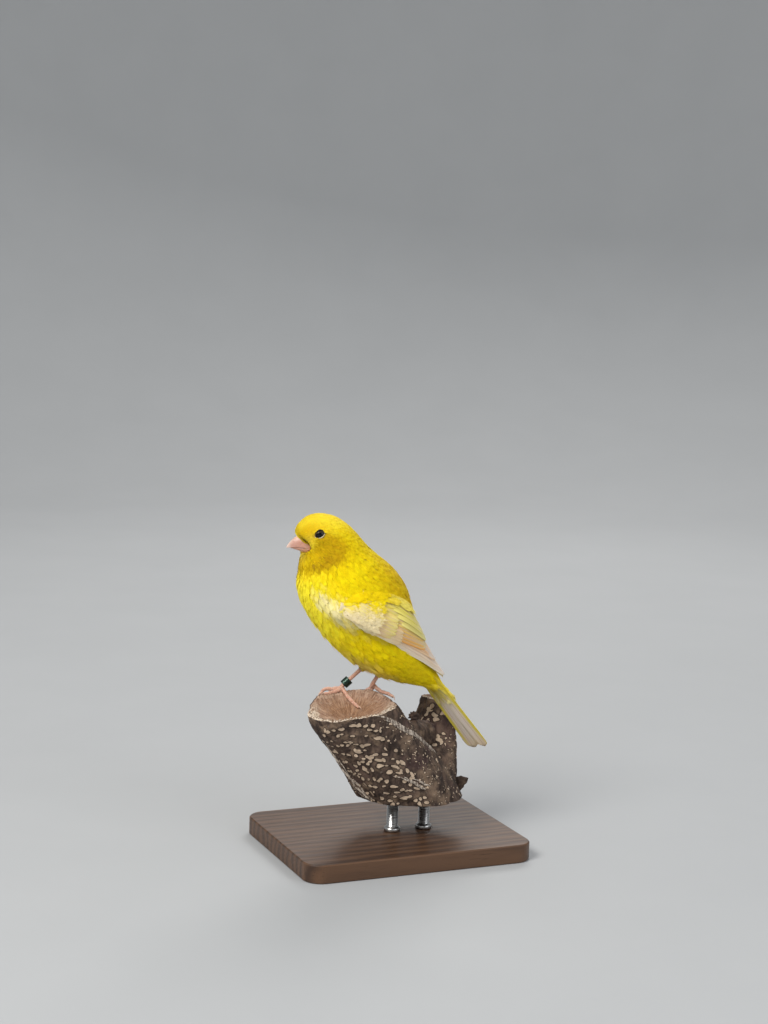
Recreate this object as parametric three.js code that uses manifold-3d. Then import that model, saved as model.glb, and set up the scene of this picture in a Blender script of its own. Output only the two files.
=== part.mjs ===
// A yellow canary, life size, standing on the sawn end of a forked branch that a
// plain display stand holds. Millimetres, +Z up, the bird heads towards -Y and its
// left side is +X. The origin is the middle of the stand's underside.
import * as THREE from 'three';
import { mergeVertices } from 'three/addons/utils/BufferGeometryUtils.js';
import Module from 'manifold-3d';

const wasm = await Module();
wasm.setup();

// Driving dimensions
const BODY_Y = -2;              // the body's reference point, along the heading
const BODY_Z = 96;              // and above the floor
const HEAD_TURN = 14;           // degrees that the head is turned to the bird's right
const WING_CHORD = 70;          // wrist to the tip of the longest primary
const TAIL_LENGTH = 54;         // root to tip
const TAIL_WIDTH = 12.4;        // across the closed tail near its end
const TAIL_SLOPE = 51;          // degrees that the tail points below level
const TAIL_ROLL = 30;           // degrees that its underside is turned to the left
const EYE_RADIUS = 2.5;
const TARSUS_RADIUS = 0.85;
const TOE_RADIUS = 0.78;
const RING_BORE = 1.35;         // inner radius of the ring on the right leg
const RING_OUTER = 2;
const RING_HEIGHT = 3.4;
const RING_LIFT = 0.8;          // above the ankle
const BASE_LENGTH = 104;
const BASE_WIDTH = 80;
const BASE_THICKNESS = 8;
const BASE_CORNER = 8;
const BASE_EDGE = 0.5;          // the plate's chamfer
const ROD_RADIUS = 2.5;
const ROD_SPREAD = 15;          // between the two rods
const GAP = 0.35;               // between two nodes that meet face to face
const BALL_GAP = 0.3;           // and round an eye, a leg and the perch

// Colours, as the photograph shows them
const YELLOW = 0xf2d21b;
const OCHRE = 0xdcae10;
const FLIGHT = 0xf0e2b4;
const HORN = 0xe0b0a4;
const SKIN = 0xdc9f92;
const EYE_BLACK = 0x080606;
const BARK = 0x4a382c;
const RING_GREEN = 0x14352a;
const DARK_WOOD = 0x3b2a20;
const STEEL = 0xb0aca2;

const { lerp, degToRad } = THREE.MathUtils;
const point3 = (x, y, z) => new THREE.Vector3(x, y, z);
const sideOf = { left: 1, right: -1 };

function smooth(value) {
  const x = THREE.MathUtils.clamp(value, 0, 1);
  return x * x * (3 - 2 * x);
}

function finish(color, roughness = 0.8, metalness = 0) {
  return new THREE.MeshStandardMaterial({ color, roughness, metalness });
}

// A closed mesh as a solid, with its shared vertices merged
function solid(geometry, tolerance = 1e-5) {
  const bare = geometry.clone();
  bare.deleteAttribute('normal');
  bare.deleteAttribute('uv');
  const merged = mergeVertices(bare, tolerance);
  return new wasm.Manifold(new wasm.Mesh({
    numProp: 3,
    vertProperties: new Float32Array(merged.attributes.position.array),
    triVerts: new Uint32Array(merged.index.array),
  }));
}

// The largest closed surface of a solid, without scraps or sealed hollows
function largest(body) {
  let best = body;
  let most = -Infinity;
  for (const piece of body.decompose()) {
    if (piece.volume() > most) {
      most = piece.volume();
      best = piece;
    }
  }
  return best;
}

function geometryOf(body) {
  const { vertProperties, triVerts } = body.getMesh();
  const geometry = new THREE.BufferGeometry();
  geometry.setAttribute('position', new THREE.BufferAttribute(vertProperties, 3));
  geometry.setIndex(new THREE.BufferAttribute(triVerts, 1));
  return geometry;
}

// The cuts leave vertices closer than a thousandth, so they are merged once more
function meshOf(name, body, material) {
  const clean = largest(solid(geometryOf(largest(body)), 1e-3));
  const mesh = new THREE.Mesh(geometryOf(clean), material);
  mesh.name = name;
  return mesh;
}

function joined(bodies) {
  return bodies.reduce((whole, piece) => whole.add(piece));
}

function signedVolume(points, faces) {
  let total = 0;
  for (let face = 0; face < faces.length; face += 3) {
    const [a, b, c] = [points[faces[face]], points[faces[face + 1]], points[faces[face + 2]]];
    total += a.dot(b.clone().cross(c));
  }
  return total;
}

// Rings of points, one after another along a piece, closed by a point at each end. The
// winding is turned where the solid would be inside out.
function loft(rings, first, last) {
  const sides = rings[0].length;
  const points = [first, ...rings.flat(), last];
  const end = points.length - 1;
  const at = (ring, side) => 1 + ring * sides + (side % sides);
  const faces = [];
  for (let side = 0; side < sides; side += 1) {
    faces.push(0, at(0, side + 1), at(0, side));
    for (let ring = 0; ring + 1 < rings.length; ring += 1) {
      faces.push(at(ring, side), at(ring, side + 1), at(ring + 1, side + 1));
      faces.push(at(ring, side), at(ring + 1, side + 1), at(ring + 1, side));
    }
    faces.push(end, at(rings.length - 1, side), at(rings.length - 1, side + 1));
  }
  const geometry = new THREE.BufferGeometry().setFromPoints(points);
  geometry.setIndex(signedVolume(points, faces) < 0 ? faces.reverse() : faces);
  return solid(geometry);
}

// Uniform Catmull-Rom through rows of numbers, at u from 0 to 1
function along(rows, u) {
  const place = THREE.MathUtils.clamp(u, 0, 1) * (rows.length - 1);
  const i = Math.min(Math.floor(place), rows.length - 2);
  const f = place - i;
  const row = (k) => rows[THREE.MathUtils.clamp(k, 0, rows.length - 1)];
  return rows[0].map((_, column) => {
    const [a, b, c, d] = [row(i - 1), row(i), row(i + 1), row(i + 2)].map((r) => r[column]);
    const leave = (c - a) / 2;
    const arrive = (d - b) / 2;
    const cubic = 2 * (b - c) + leave + arrive;
    const square = 3 * (c - b) - 2 * leave - arrive;
    return ((cubic * f + square) * f + leave) * f + b;
  });
}

// A round tube with a radius for each point of its path
function tube(path, radii, sides = 8, out = 0) {
  const stepsPerBend = 2;
  const endRound = 0.3;
  const curve = new THREE.CatmullRomCurve3(path);
  const steps = (path.length - 1) * stepsPerBend;
  const frames = curve.computeFrenetFrames(steps, false);
  const rings = [];
  for (let step = 0; step <= steps; step += 1) {
    const middle = curve.getPoint(step / steps);
    const [radius] = along(radii.map((value) => [value]), step / steps);
    rings.push(Array.from({ length: sides }, (_, side) => {
      const angle = (side / sides) * Math.PI * 2;
      return middle.clone()
        .addScaledVector(frames.normals[step], (radius + out) * Math.cos(angle))
        .addScaledVector(frames.binormals[step], (radius + out) * Math.sin(angle));
    }));
  }
  const start = curve.getPoint(0).addScaledVector(curve.getTangent(0), -out - radii[0] * endRound);
  const stop = curve.getPoint(1).addScaledVector(curve.getTangent(1), out + radii.at(-1) * endRound);
  return loft(rings, start, stop);
}

function ellipsoid(middle, radii, sides = 12, rows = 9) {
  const ball = new THREE.SphereGeometry(1, sides, rows);
  ball.scale(...radii);
  ball.translate(middle.x, middle.y, middle.z);
  return solid(ball);
}

// The body's sections from the tail's root to the face: back y, z, belly y, z, half
// width, and how far the widest line lies towards the back, as a share of the half depth
const BODY = [
  [23.0, -20.5, 18.5, -26.2, 3.4, 0.0],
  [17.6, -12.5, 10.0, -24.2, 6.6, -0.05],
  [13.4, -4.8, 1.2, -21.8, 10.6, -0.1],
  [10.6, 3.2, -8.0, -18.2, 13.6, -0.1],
  [8.6, 11.8, -18.0, -12.4, 15.6, -0.1],
  [5.4, 20.0, -27.0, -4.6, 16.8, -0.05],
  [-0.4, 27.6, -34.6, 4.0, 17.0, 0.0],
  [-7.6, 33.4, -40.2, 12.6, 16.0, 0.0],
  [-12.8, 37.8, -42.8, 20.6, 13.6, 0.0],
  [-16.4, 41.8, -42.0, 26.6, 11.8, 0.0],
  [-20.4, 45.9, -41.2, 30.2, 11.0, -0.1],
  [-25.8, 49.5, -40.8, 32.2, 10.7, -0.15],
  [-32.0, 51.0, -40.6, 33.4, 10.0, -0.2],
  [-37.6, 50.2, -40.6, 34.6, 8.4, -0.2],
  [-41.3, 47.4, -40.9, 35.8, 6.2, -0.15],
  [-42.8, 44.0, -41.4, 37.4, 3.6, -0.1],
];
const FACE = [-42.4, 40.8];       // the point where the sections close above the bill
const RUMP = [23.6, -25.4];       // and the one where they close at the tail's root
const NECK_PIVOT = -20;           // y of the upright axis that the head turns about
const NECK_SECTION = 8;           // the section where the turn starts
const HEAD_SECTION = 11;          // and the one where it is full
const NECK_CUT = 8.35;            // the section between torso and neck
const HEAD_CUT = 9.9;             // the section between neck and head

function turned(point, share) {
  const angle = -degToRad(HEAD_TURN) * share;
  const from = point.y - NECK_PIVOT;
  return point3(
    point.x * Math.cos(angle) - from * Math.sin(angle),
    NECK_PIVOT + point.x * Math.sin(angle) + from * Math.cos(angle),
    point.z,
  );
}

const headed = (body) => body.warp((v) => {
  [v[0], v[1], v[2]] = turned(point3(...v), 1).toArray();
});

// A point on the plumage: section along the body, angle round it from the back over
// the left side, and how far outside the surface
function bodyPoint(section, angle, out = 0) {
  const [by, bz, vy, vz, width, rise] = along(BODY, section / (BODY.length - 1));
  const half = Math.hypot(by - vy, bz - vz) / 2;
  const up = point3(0, (by - vy) / (2 * half), (bz - vz) / (2 * half));
  const depth = (half + out) * (Math.cos(angle) + rise * Math.sin(angle) ** 2);
  const place = point3((width + out) * Math.sin(angle), (by + vy) / 2, (bz + vz) / 2);
  const share = smooth((section - NECK_SECTION) / (HEAD_SECTION - NECK_SECTION));
  return turned(place.addScaledVector(up, depth), share);
}

function bodySolid(rings, sides, out = 0) {
  const sections = Array.from({ length: rings + 1 }, (_, ring) => (
    Array.from({ length: sides }, (__, side) => (
      bodyPoint((ring / rings) * (BODY.length - 1), (side / sides) * Math.PI * 2, out)))));
  const rump = point3(0, RUMP[0] + out * 0.6, RUMP[1] - out * 0.8);
  const face = turned(point3(0, FACE[0] - out, FACE[1]), 1);
  return loft(sections, rump, face);
}

// A big box whose face lies in the plane of a body section, on the head's side of it
function aheadOf(section, shift) {
  const size = 120;
  const back = bodyPoint(section, 0);
  const belly = bodyPoint(section, Math.PI);
  const across = bodyPoint(section, Math.PI / 2).sub(bodyPoint(section, -Math.PI / 2)).normalize();
  const up = back.clone().sub(belly).normalize();
  const forward = across.clone().cross(up).normalize();
  if (forward.y > 0) forward.negate();
  const middle = back.add(belly).multiplyScalar(0.5).addScaledVector(forward, size / 2 + shift);
  const box = new THREE.BoxGeometry(size, size, size);
  box.applyMatrix4(new THREE.Matrix4().makeBasis(up.clone().cross(forward), up, forward));
  box.translate(middle.x, middle.y, middle.z);
  return solid(box);
}

// A feather's vane: sections of four points across it, along a frame function that gives
// the middle, the way across and the way out at each share of its length
const VANE_SHAPE = [0.45, 0.92, 1.0, 0.92, 0.45];
const VANE_THICKNESS = 0.6;

function vane(frameAt, width) {
  const steps = VANE_SHAPE.length - 1;
  const rings = VANE_SHAPE.map((shape, step) => {
    const { middle, across, out } = frameAt(step / steps);
    const half = (width / 2) * shape;
    const thick = VANE_THICKNESS / (step === steps ? 3 : 2);
    const corners = [[-1, -1], [1, -1], [1, 1], [-1, 1]];
    return corners.map(([side, face]) => middle.clone()
      .addScaledVector(across, side * half)
      .addScaledVector(out, face * thick));
  });
  const stop = frameAt(1).middle;
  const ahead = stop.clone().sub(frameAt(0.9).middle).normalize();
  return loft(rings, frameAt(0).middle, stop.addScaledVector(ahead, width * 0.13));
}

// Wing. The folded wing's inner face is a chart: s in millimetres from the wrist towards
// the tip, t from 0 on its lower edge to 1 on its upper edge, near the back's middle
const WING_LOW = [
  [15.2, -31.0, 12.5],
  [16.6, -22.0, 5.6],
  [16.4, -13.6, 0.5],
  [14.8, -5.4, -4.2],
  [12.2, 2.6, -8.9],
  [9.4, 10.8, -13.4],
  [6.4, 18.4, -17.8],
  [4.0, 25.4, -22.4],
];
const WING_HIGH = [
  [14.6, -30.0, 16.5],
  [13.8, -19.0, 19.4],
  [11.0, -8.6, 18.6],
  [7.0, 1.0, 13.4],
  [2.8, 7.8, 4.8],
  [1.2, 12.6, -4.6],
  [1.0, 18.2, -12.8],
  [2.0, 24.2, -19.4],
];
const WING_BULGE = [[1.2], [2.6], [4.2], [5.4], [5.0], [3.6], [1.9], [0.5]];

function wingChart(s, t) {
  const u = THREE.MathUtils.clamp(s / WING_CHORD, 0, 1);
  const step = 0.02;
  const low = point3(...along(WING_LOW, u));
  const high = point3(...along(WING_HIGH, u));
  const ahead = point3(...along(WING_LOW, u + step)).sub(point3(...along(WING_LOW, u - step)));
  const outward = ahead.cross(high.clone().sub(low)).normalize();
  if (outward.x < 0) outward.negate();
  const [bulge] = along(WING_BULGE, u);
  return low.lerp(high, t).addScaledVector(outward, bulge * 4 * t * (1 - t));
}

function wingNormal(s, t) {
  const alongS = wingChart(s + 0.6, t).sub(wingChart(s - 0.6, t));
  const alongT = wingChart(s, Math.min(t + 0.03, 1)).sub(wingChart(s, Math.max(t - 0.03, 0)));
  const normal = alongS.cross(alongT).normalize();
  return normal.x < 0 ? normal.negate() : normal;
}

const wingHeight = (s) => wingChart(s, 0).distanceTo(wingChart(s, 1));

// A vane of the wing, from root to tip, each [s, millimetres above the lower edge]
function wingVane({ root, tip, lift, width }) {
  const frameAt = (share) => {
    const s = lerp(root[0], tip[0], share);
    const t = THREE.MathUtils.clamp(lerp(root[1], tip[1], share) / wingHeight(s), 0.05, 0.95);
    const out = wingNormal(s, t);
    const middle = wingChart(s, t).addScaledVector(out, lift * (1 - 0.2 * share));
    const ahead = wingChart(s + 1, t).sub(wingChart(s - 1, t)).normalize();
    return { middle, across: out.clone().cross(ahead).normalize(), out };
  };
  return vane(frameAt, width);
}

// The wing's rows from the lowest layer to the highest. Each number goes from the first
// feather of the row, at the lower edge, to the last one, at the upper edge
const WING_ROWS = {
  primaries: { count: 6, root: [[22, 2.4], [18, 8]], tip: [[69, 2.0], [52, 7.4]], lift: [0.5, 1.2], width: [4.8, 5.8] },
  secondaries: { count: 4, root: [[18, 5], [14, 13]], tip: [[48, 6.4], [43, 12]], lift: [1.4, 1.9], width: [6.2, 6.6] },
  tertials: { count: 3, root: [[22, 12], [14, 16.5]], tip: [[49, 9.6], [39, 14.4]], lift: [2.1, 2.7], width: [7.4, 7.0] },
  coverts: { count: 5, root: [[10, 2.6], [9, 13]], tip: [[27, 3.0], [25, 15.4]], lift: [1.9, 2.6], width: [5.8, 6.0] },
  scapulars: { count: 3, root: [[8, 13], [12, 18]], tip: [[27, 15.5], [33, 17.4]], lift: [2.9, 3.1], width: [7.6, 7.0] },
};

function wingRow({ count, root, tip, lift, width }) {
  return Array.from({ length: count }, (_, index) => {
    const share = index / (count - 1);
    const mix = ([first, last]) => (Array.isArray(first)
      ? first.map((value, k) => lerp(value, last[k], share))
      : lerp(first, last, share));
    return wingVane({ root: mix(root), tip: mix(tip), lift: mix(lift), width: mix(width) });
  });
}

// The wing's core: the chart thickened outwards over the wrist and inwards to the body
const CORE_STEPS = 12;
const CORE_COLUMNS = 5;
const CORE_WRIST = 2.3;         // thickness over the chart at the wrist
const CORE_BLADE = 0.5;         // and over the flight feathers
const CORE_INWARD = 5;

function wingCore() {
  const rings = [];
  for (let step = 0; step <= CORE_STEPS; step += 1) {
    const share = step / CORE_STEPS;
    const s = lerp(2, WING_CHORD - 3, share);
    const spread = Math.min(1, 0.4 + share * 5) * (1 - 0.3 * smooth((share - 0.85) / 0.15));
    const over = lerp(CORE_WRIST, CORE_BLADE, smooth((s - 8) / 14)) * Math.min(1, 0.5 + share * 5);
    const depth = lerp(CORE_INWARD, 0.1, smooth((s - WING_CHORD * 0.5) / (WING_CHORD * 0.3)));
    const side = (height) => Array.from({ length: CORE_COLUMNS + 1 }, (_, column) => {
      const t = 0.5 + (column / CORE_COLUMNS - 0.5) * spread;
      return wingChart(s, t).addScaledVector(wingNormal(s, t), height);
    });
    rings.push([...side(over), ...side(-depth).reverse()]);
  }
  const last = wingChart(WING_CHORD - 1, 0.5).addScaledVector(wingNormal(WING_CHORD, 0.5), 0.2);
  return loft(rings, wingChart(0.4, 0.5), last);
}

function wingSolid() {
  return joined([wingCore(), ...Object.values(WING_ROWS).flatMap(wingRow)]);
}

// Tail. Six pairs of feathers from one root, the middle pair on top, the outer ones below
const TAIL_PAIRS = 6;
const TAIL_ROOT = point3(0, 12.6, -12.4);
const TAIL_LAYER = 0.34;        // how far each feather lies under the one above
const TAIL_NOTCH = 2.2;         // how much shorter the middle pair is
const RECTRIX_WIDTH = 5.6;

function tailFeather(index, side) {
  const slope = degToRad(TAIL_SLOPE);
  const down = point3(0, Math.cos(slope), -Math.sin(slope));
  const top = point3(0, Math.sin(slope), Math.cos(slope)).applyAxisAngle(down, -degToRad(TAIL_ROLL));
  const left = down.clone().cross(top).negate();
  const share = index / (TAIL_PAIRS - 1);
  const length = TAIL_LENGTH - TAIL_NOTCH * (1 - share) ** 2 - 0.8 * share ** 3;
  const layer = -TAIL_LAYER * (index + (side > 0 ? 0 : 0.5));
  const root = TAIL_ROOT.clone().addScaledVector(left, side * (0.6 + share)).addScaledVector(top, layer);
  const reach = side * lerp(RECTRIX_WIDTH * 0.28, (TAIL_WIDTH - RECTRIX_WIDTH) / 2, share);
  const tip = TAIL_ROOT.clone().addScaledVector(left, reach).addScaledVector(top, layer)
    .addScaledVector(down, length);
  const ahead = tip.clone().sub(root).normalize();
  return vane((place) => ({
    middle: root.clone().lerp(tip, place),
    across: top.clone().cross(ahead).normalize(),
    out: top,
  }), RECTRIX_WIDTH);
}

function tailSolid() {
  const feathers = [];
  for (let index = 0; index < TAIL_PAIRS; index += 1) {
    feathers.push(tailFeather(index, 1), tailFeather(index, -1));
  }
  return joined(feathers);
}

// Bill: an upper and a lower half from the base to the tip, with the mouth between them
const BILL_BASE = point3(0, -37.4, 37.2);
const BILL_TIP = point3(0, -46.2, 36.6);
const CULMEN = 5.4;             // above the mouth's line at the base
const CHIN = 2.7;               // and below it
const BILL_HALF_WIDTH = 3.5;
const LOWER_REACH = 0.92;       // the lower half's share of the length
const BILL_STEPS = 8;
const BILL_SIDES = 10;
const GAPE_DROP = 0.9;          // how far the mouth's line bends down at its corners
const MOUTH = 0.2;              // half the opening between the two
const NOSTRIL = 0.5;

function billHalf(upper, out = 0) {
  const height = (upper ? CULMEN : CHIN) + 2 * out;
  const reach = upper ? 1 : LOWER_REACH;
  const way = upper ? 1 : -1;
  const rings = Array.from({ length: BILL_STEPS }, (_, step) => {
    const share = (step / BILL_STEPS) * reach;
    const taper = (1 - share ** 1.3) ** 0.85;
    const mouth = BILL_BASE.clone().lerp(BILL_TIP, share);
    mouth.y += out * (1 - 2 * share);
    mouth.z -= GAPE_DROP * (1 - share) ** 3 + (upper ? 0.5 * share ** 3 : 0);
    return Array.from({ length: BILL_SIDES + 1 }, (__, side) => {
      const angle = (side / BILL_SIDES) * Math.PI;
      const x = Math.cos(angle) * (BILL_HALF_WIDTH + out) * taper;
      const rise = Math.sin(angle) ** 0.9 * height * taper + MOUTH - out;
      return point3(x, mouth.y, mouth.z + way * rise);
    });
  });
  const base = BILL_BASE.clone().add(point3(0, 0.1 + out, way - GAPE_DROP));
  const tip = BILL_BASE.clone().lerp(BILL_TIP, reach);
  tip.y -= out;
  tip.z -= upper ? 0.4 : 0.6;
  return loft(rings, base, tip);
}

function billUpper() {
  const pit = (side) => ellipsoid(
    point3(side * 2.1, -41.3, 40.2), [0.5, NOSTRIL * 1.3, NOSTRIL], 8, 6);
  return headed(billHalf(true).subtract(pit(1)).subtract(pit(-1)));
}

// Eyes in the head's sides, each under lids that leave an almond-shaped opening
const EYE_MIDDLE = point3(7.7, -33.8, 43.3);
const LID_THICKNESS = 0.55;
const LID_OPENING = [2.15, 1.55];   // half length and half height
const LID_TILT = 24;                // degrees, higher at the rear

function eyeBall(side, out = 0) {
  const radius = EYE_RADIUS + out;
  const middle = point3(side * EYE_MIDDLE.x, EYE_MIDDLE.y, EYE_MIDDLE.z);
  return headed(ellipsoid(middle, [radius, radius, radius]));
}

function lidOpening(side) {
  const hole = new THREE.SphereGeometry(1, 12, 8);
  hole.scale(2.2, ...LID_OPENING);
  hole.rotateX(degToRad(LID_TILT));
  hole.rotateZ(side * degToRad(-12));
  hole.translate(side * (EYE_MIDDLE.x + EYE_RADIUS + 0.6), EYE_MIDDLE.y - 0.5, EYE_MIDDLE.z);
  return headed(solid(hole));
}

// Legs and feet
const LEGS = {
  right: { top: point3(-4.6, -7.4, -14.5), ankle: point3(-7.4, -18.4, -25.1), plume: 0.38 },
  left: { top: point3(1.6, -2.7, -14.4), ankle: point3(-2.5, -6.5, -24.3), plume: 0.68 },
};

function tarsus({ top, ankle }, out = 0) {
  const radii = [TARSUS_RADIUS * 1.25, TARSUS_RADIUS, TARSUS_RADIUS * 1.1];
  return tube([top, top.clone().lerp(ankle, 0.5), ankle], radii, 8, out);
}

// The feathered end of the thigh, a short cone round the tarsus. Plume is its share of it
function thigh({ top, ankle, plume }) {
  const path = [0, 0.5, 1].map((share) => top.clone().lerp(ankle, share * plume));
  return tube(path, [3.6, 3.0, 1.5], 10);
}

// Perch: a forked branch. Its main arm leans forward and to the left and ends in a sawn
// face, hollow in the middle; a side stub stands behind the tail. Each row holds the
// middle x, y, z and the half length and half width of a level section
const ARM = [
  [4.5, 9.6, -72, 23, 19],
  [5.6, 2.6, -62, 23, 18.5],
  [6.9, -6.4, -50, 22, 17.6],
  [8.2, -15.4, -38, 20.4, 16.8],
  [9.0, -20.2, -29.8, 18.4, 16.2],
];
const STUB = [
  [-0.9, 17.9, -72, 14, 13],
  [-4.6, 23.1, -60, 12, 11.5],
  [-10.2, 27.4, -50, 10, 9.0],
  [-15.2, 31.0, -41, 7.8, 7.2],
  [-17.8, 32.0, -36, 6.4, 5.8],
];
const SQUARE = 0.86;            // the sections are a little squarer than ellipses
const LEAN = 66;                // degrees, the way that the sections' long axes point
const FACE_FORWARD = 13;        // degrees that the sawn face falls towards the front
const FACE_LEFT = 4;            // and towards the bird's left
const FACE_RISE = 3;            // how much its rim stands up in front, on the right
const FACE_FALL = 4.4;          // and falls off behind
const FACE_HOLLOW = 7;
const STUB_CUT = [0.04, -0.14]; // the stub's top, its slope along x and y
const STUB_CROWN = 1.5;
const TOP = ARM.at(-1);
const LONG = point3(-Math.cos(degToRad(LEAN)), -Math.sin(degToRad(LEAN)), 0);
const WIDE = point3(Math.sin(degToRad(LEAN)), -Math.cos(degToRad(LEAN)), 0);

// How far the sawn face lies above its middle's level
function armCut({ x, y }) {
  const ahead = (x * LONG.x + y * LONG.y) / TOP[3];
  const across = (x * WIDE.x + y * WIDE.y) / TOP[4];
  const far = THREE.MathUtils.clamp((1 - across) / 2, 0, 1);
  const plane = Math.tan(degToRad(FACE_FORWARD)) * y - Math.tan(degToRad(FACE_LEFT)) * x;
  const rim = FACE_RISE * smooth(ahead * 1.2) - FACE_FALL * smooth(-ahead * 1.3 - 0.35);
  return plane + far * rim;
}

const stubCut = ({ x, y }) => STUB_CUT[0] * x + STUB_CUT[1] * y;

const squared = (value) => Math.sign(value) * Math.abs(value) ** SQUARE;

function barkBump(angle, height, seed) {
  return 0.5 * Math.sin(3 * angle + 0.09 * height + seed)
    + 0.35 * Math.sin(7 * angle - 0.16 * height + 2 * seed)
    + 0.2 * Math.sin(13 * angle + 0.3 * height + 3 * seed);
}

function branch(rows, { steps, sides, seed, cut, hollow, out }) {
  const place = (row, side, reach, blend) => {
    const angle = (side / sides) * Math.PI * 2;
    const grow = barkBump(angle, row[2], seed) + out;
    const from = LONG.clone().multiplyScalar((row[3] + grow) * squared(Math.cos(angle)) * reach)
      .addScaledVector(WIDE, (row[4] + grow) * squared(Math.sin(angle)) * reach);
    return point3(row[0] + from.x, row[1] + from.y, row[2] + (cut(from) + out) * blend);
  };
  const ring = (row, reach, blend) => Array.from({ length: sides }, (_, side) => (
    place(row, side, reach, blend)));
  const rings = Array.from({ length: steps + 1 }, (_, step) => (
    ring(along(rows, step / steps), 1, smooth((step / steps - 0.4) / 0.6))));
  const top = along(rows, 1);
  for (const reach of [0.85, 0.6, 0.3]) {
    rings.push(ring(top, reach, 1).map((point) => {
      point.z -= hollow * (1 - reach ** 2) ** 1.5;
      return point;
    }));
  }
  return loft(rings, point3(...rows[0].slice(0, 2), rows[0][2] - out), point3(
    top[0], top[1], top[2] - hollow + out));
}

function perchSolid(out = 0) {
  const arm = branch(ARM, { steps: 9, sides: 24, seed: 1.3, cut: armCut, hollow: FACE_HOLLOW, out });
  const stub = branch(STUB, { steps: 6, sides: 16, seed: 4.1, cut: stubCut, hollow: -STUB_CROWN, out });
  return arm.add(stub);
}

// Each toe as the way it points, in degrees from straight ahead towards the left, and
// its length with the claw. It lies on the sawn face and bends down over the rim
const TOES = {
  right: [[-36, 10], [-14, 12], [8, 10.5], [108, 13.5]],
  left: [[-40, 9.5], [-62, 10.5], [-88, 9], [115, 12.5]],
};
const TOE_BENDS = [0.3, 0.58, 0.82, 1];
const TOE_CLEAR = 0.55;         // between a toe and the wood's even surface

function onFace(x, y, height) {
  const from = point3(x - TOP[0], y - TOP[1], 0);
  const lengthwise = Math.abs(from.dot(LONG)) / (TOP[3] + 0.6);
  const crosswise = Math.abs(from.dot(WIDE)) / (TOP[4] + 0.6);
  const reach = (lengthwise ** (2 / SQUARE) + crosswise ** (2 / SQUARE)) ** (SQUARE / 2);
  const held = from.clone().multiplyScalar(reach > 1 ? (1 + height / TOP[4]) / reach : 1);
  const beyond = reach > 1 ? from.length() * (1 - 1 / reach) : 0;
  const hollow = FACE_HOLLOW * Math.max(0, 1 - reach ** 2) ** 1.5;
  const z = TOP[2] + armCut(held) - hollow + height - beyond * 1.1;
  return point3(TOP[0] + held.x, TOP[1] + held.y, z);
}

function footSolid(side) {
  const { ankle } = LEGS[side];
  const joint = onFace(ankle.x, ankle.y, TOE_RADIUS + GAP + 0.5);
  const pieces = [ellipsoid(joint, [1.35, 1.5, 1.0], 8, 6)];
  const radii = [1.1, 1.0, 0.95, 0.6, 0.22].map((share) => share * TOE_RADIUS);
  for (const [way, length] of TOES[side]) {
    const x = Math.sin(degToRad(way));
    const y = -Math.cos(degToRad(way));
    const path = TOE_BENDS.map((share) => onFace(
      joint.x + x * length * share, joint.y + y * length * share, TOE_RADIUS + TOE_CLEAR));
    pieces.push(tube([joint, ...path], radii, 7));
  }
  return joined(pieces);
}

function legRing() {
  const { top, ankle } = LEGS.right;
  const away = top.clone().sub(ankle).normalize();
  const profile = [
    [RING_BORE, 0], [RING_OUTER, 0], [RING_OUTER, RING_HEIGHT], [RING_BORE, RING_HEIGHT], [RING_BORE, 0],
  ].map(([x, y]) => new THREE.Vector2(x, y));
  const band = new THREE.LatheGeometry(profile, 16);
  band.applyQuaternion(new THREE.Quaternion().setFromUnitVectors(point3(0, 1, 0), away));
  const foot = ankle.clone().addScaledVector(away, RING_LIFT);
  band.translate(foot.x, foot.y, foot.z);
  return solid(band);
}

// Stand
function standBase() {
  const x = BASE_WIDTH / 2 - BASE_CORNER;
  const y = BASE_LENGTH / 2 - BASE_CORNER;
  const shape = new THREE.Shape();
  const corners = [[x, -y], [x, y], [-x, y], [-x, -y]];
  corners.forEach(([cx, cy], index) => {
    const start = (index - 1) * (Math.PI / 2);
    shape.absarc(cx, cy, BASE_CORNER, start, start + Math.PI / 2);
  });
  const plate = new THREE.ExtrudeGeometry(shape, {
    depth: BASE_THICKNESS - 2 * BASE_EDGE,
    bevelSize: BASE_EDGE,
    bevelThickness: BASE_EDGE,
    bevelOffset: -BASE_EDGE,
    bevelSegments: 1,
    curveSegments: 5,
  });
  return solid(plate.translate(0, 0, BASE_EDGE), 1e-3);
}

function standRod(index) {
  const bottom = BASE_THICKNESS + GAP;
  const height = BODY_Z + ARM[0][2] - GAP - bottom;
  const rod = new THREE.CylinderGeometry(ROD_RADIUS, ROD_RADIUS, height, 20);
  rod.rotateX(Math.PI / 2);
  const y = ARM[0][1] + BODY_Y + (index - 0.5) * ROD_SPREAD;
  rod.translate(ARM[0][0], y, bottom + height / 2);
  return solid(rod);
}

// Assembly
const body = bodySolid(36, 32);
const bodyAround = bodySolid(26, 24, GAP + 0.12);
const perch = perchSolid();
const perchAround = perchSolid(BALL_GAP);
const bills = headed(billHalf(true, GAP)).add(headed(billHalf(false, GAP)));

let head = body.intersect(aheadOf(HEAD_CUT, GAP / 2)).subtract(bills);
for (const side of Object.values(sideOf)) {
  head = head.add(eyeBall(side, BALL_GAP + LID_THICKNESS))
    .subtract(eyeBall(side, BALL_GAP))
    .subtract(lidOpening(side));
}
const neck = body.intersect(aheadOf(NECK_CUT, GAP / 2)).subtract(aheadOf(HEAD_CUT, -GAP / 2));
const torso = body.subtract(aheadOf(NECK_CUT, -GAP / 2));
const wing = wingSolid().subtract(bodyAround);
const wings = { left: wing, right: wing.mirror([1, 0, 0]) };

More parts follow.
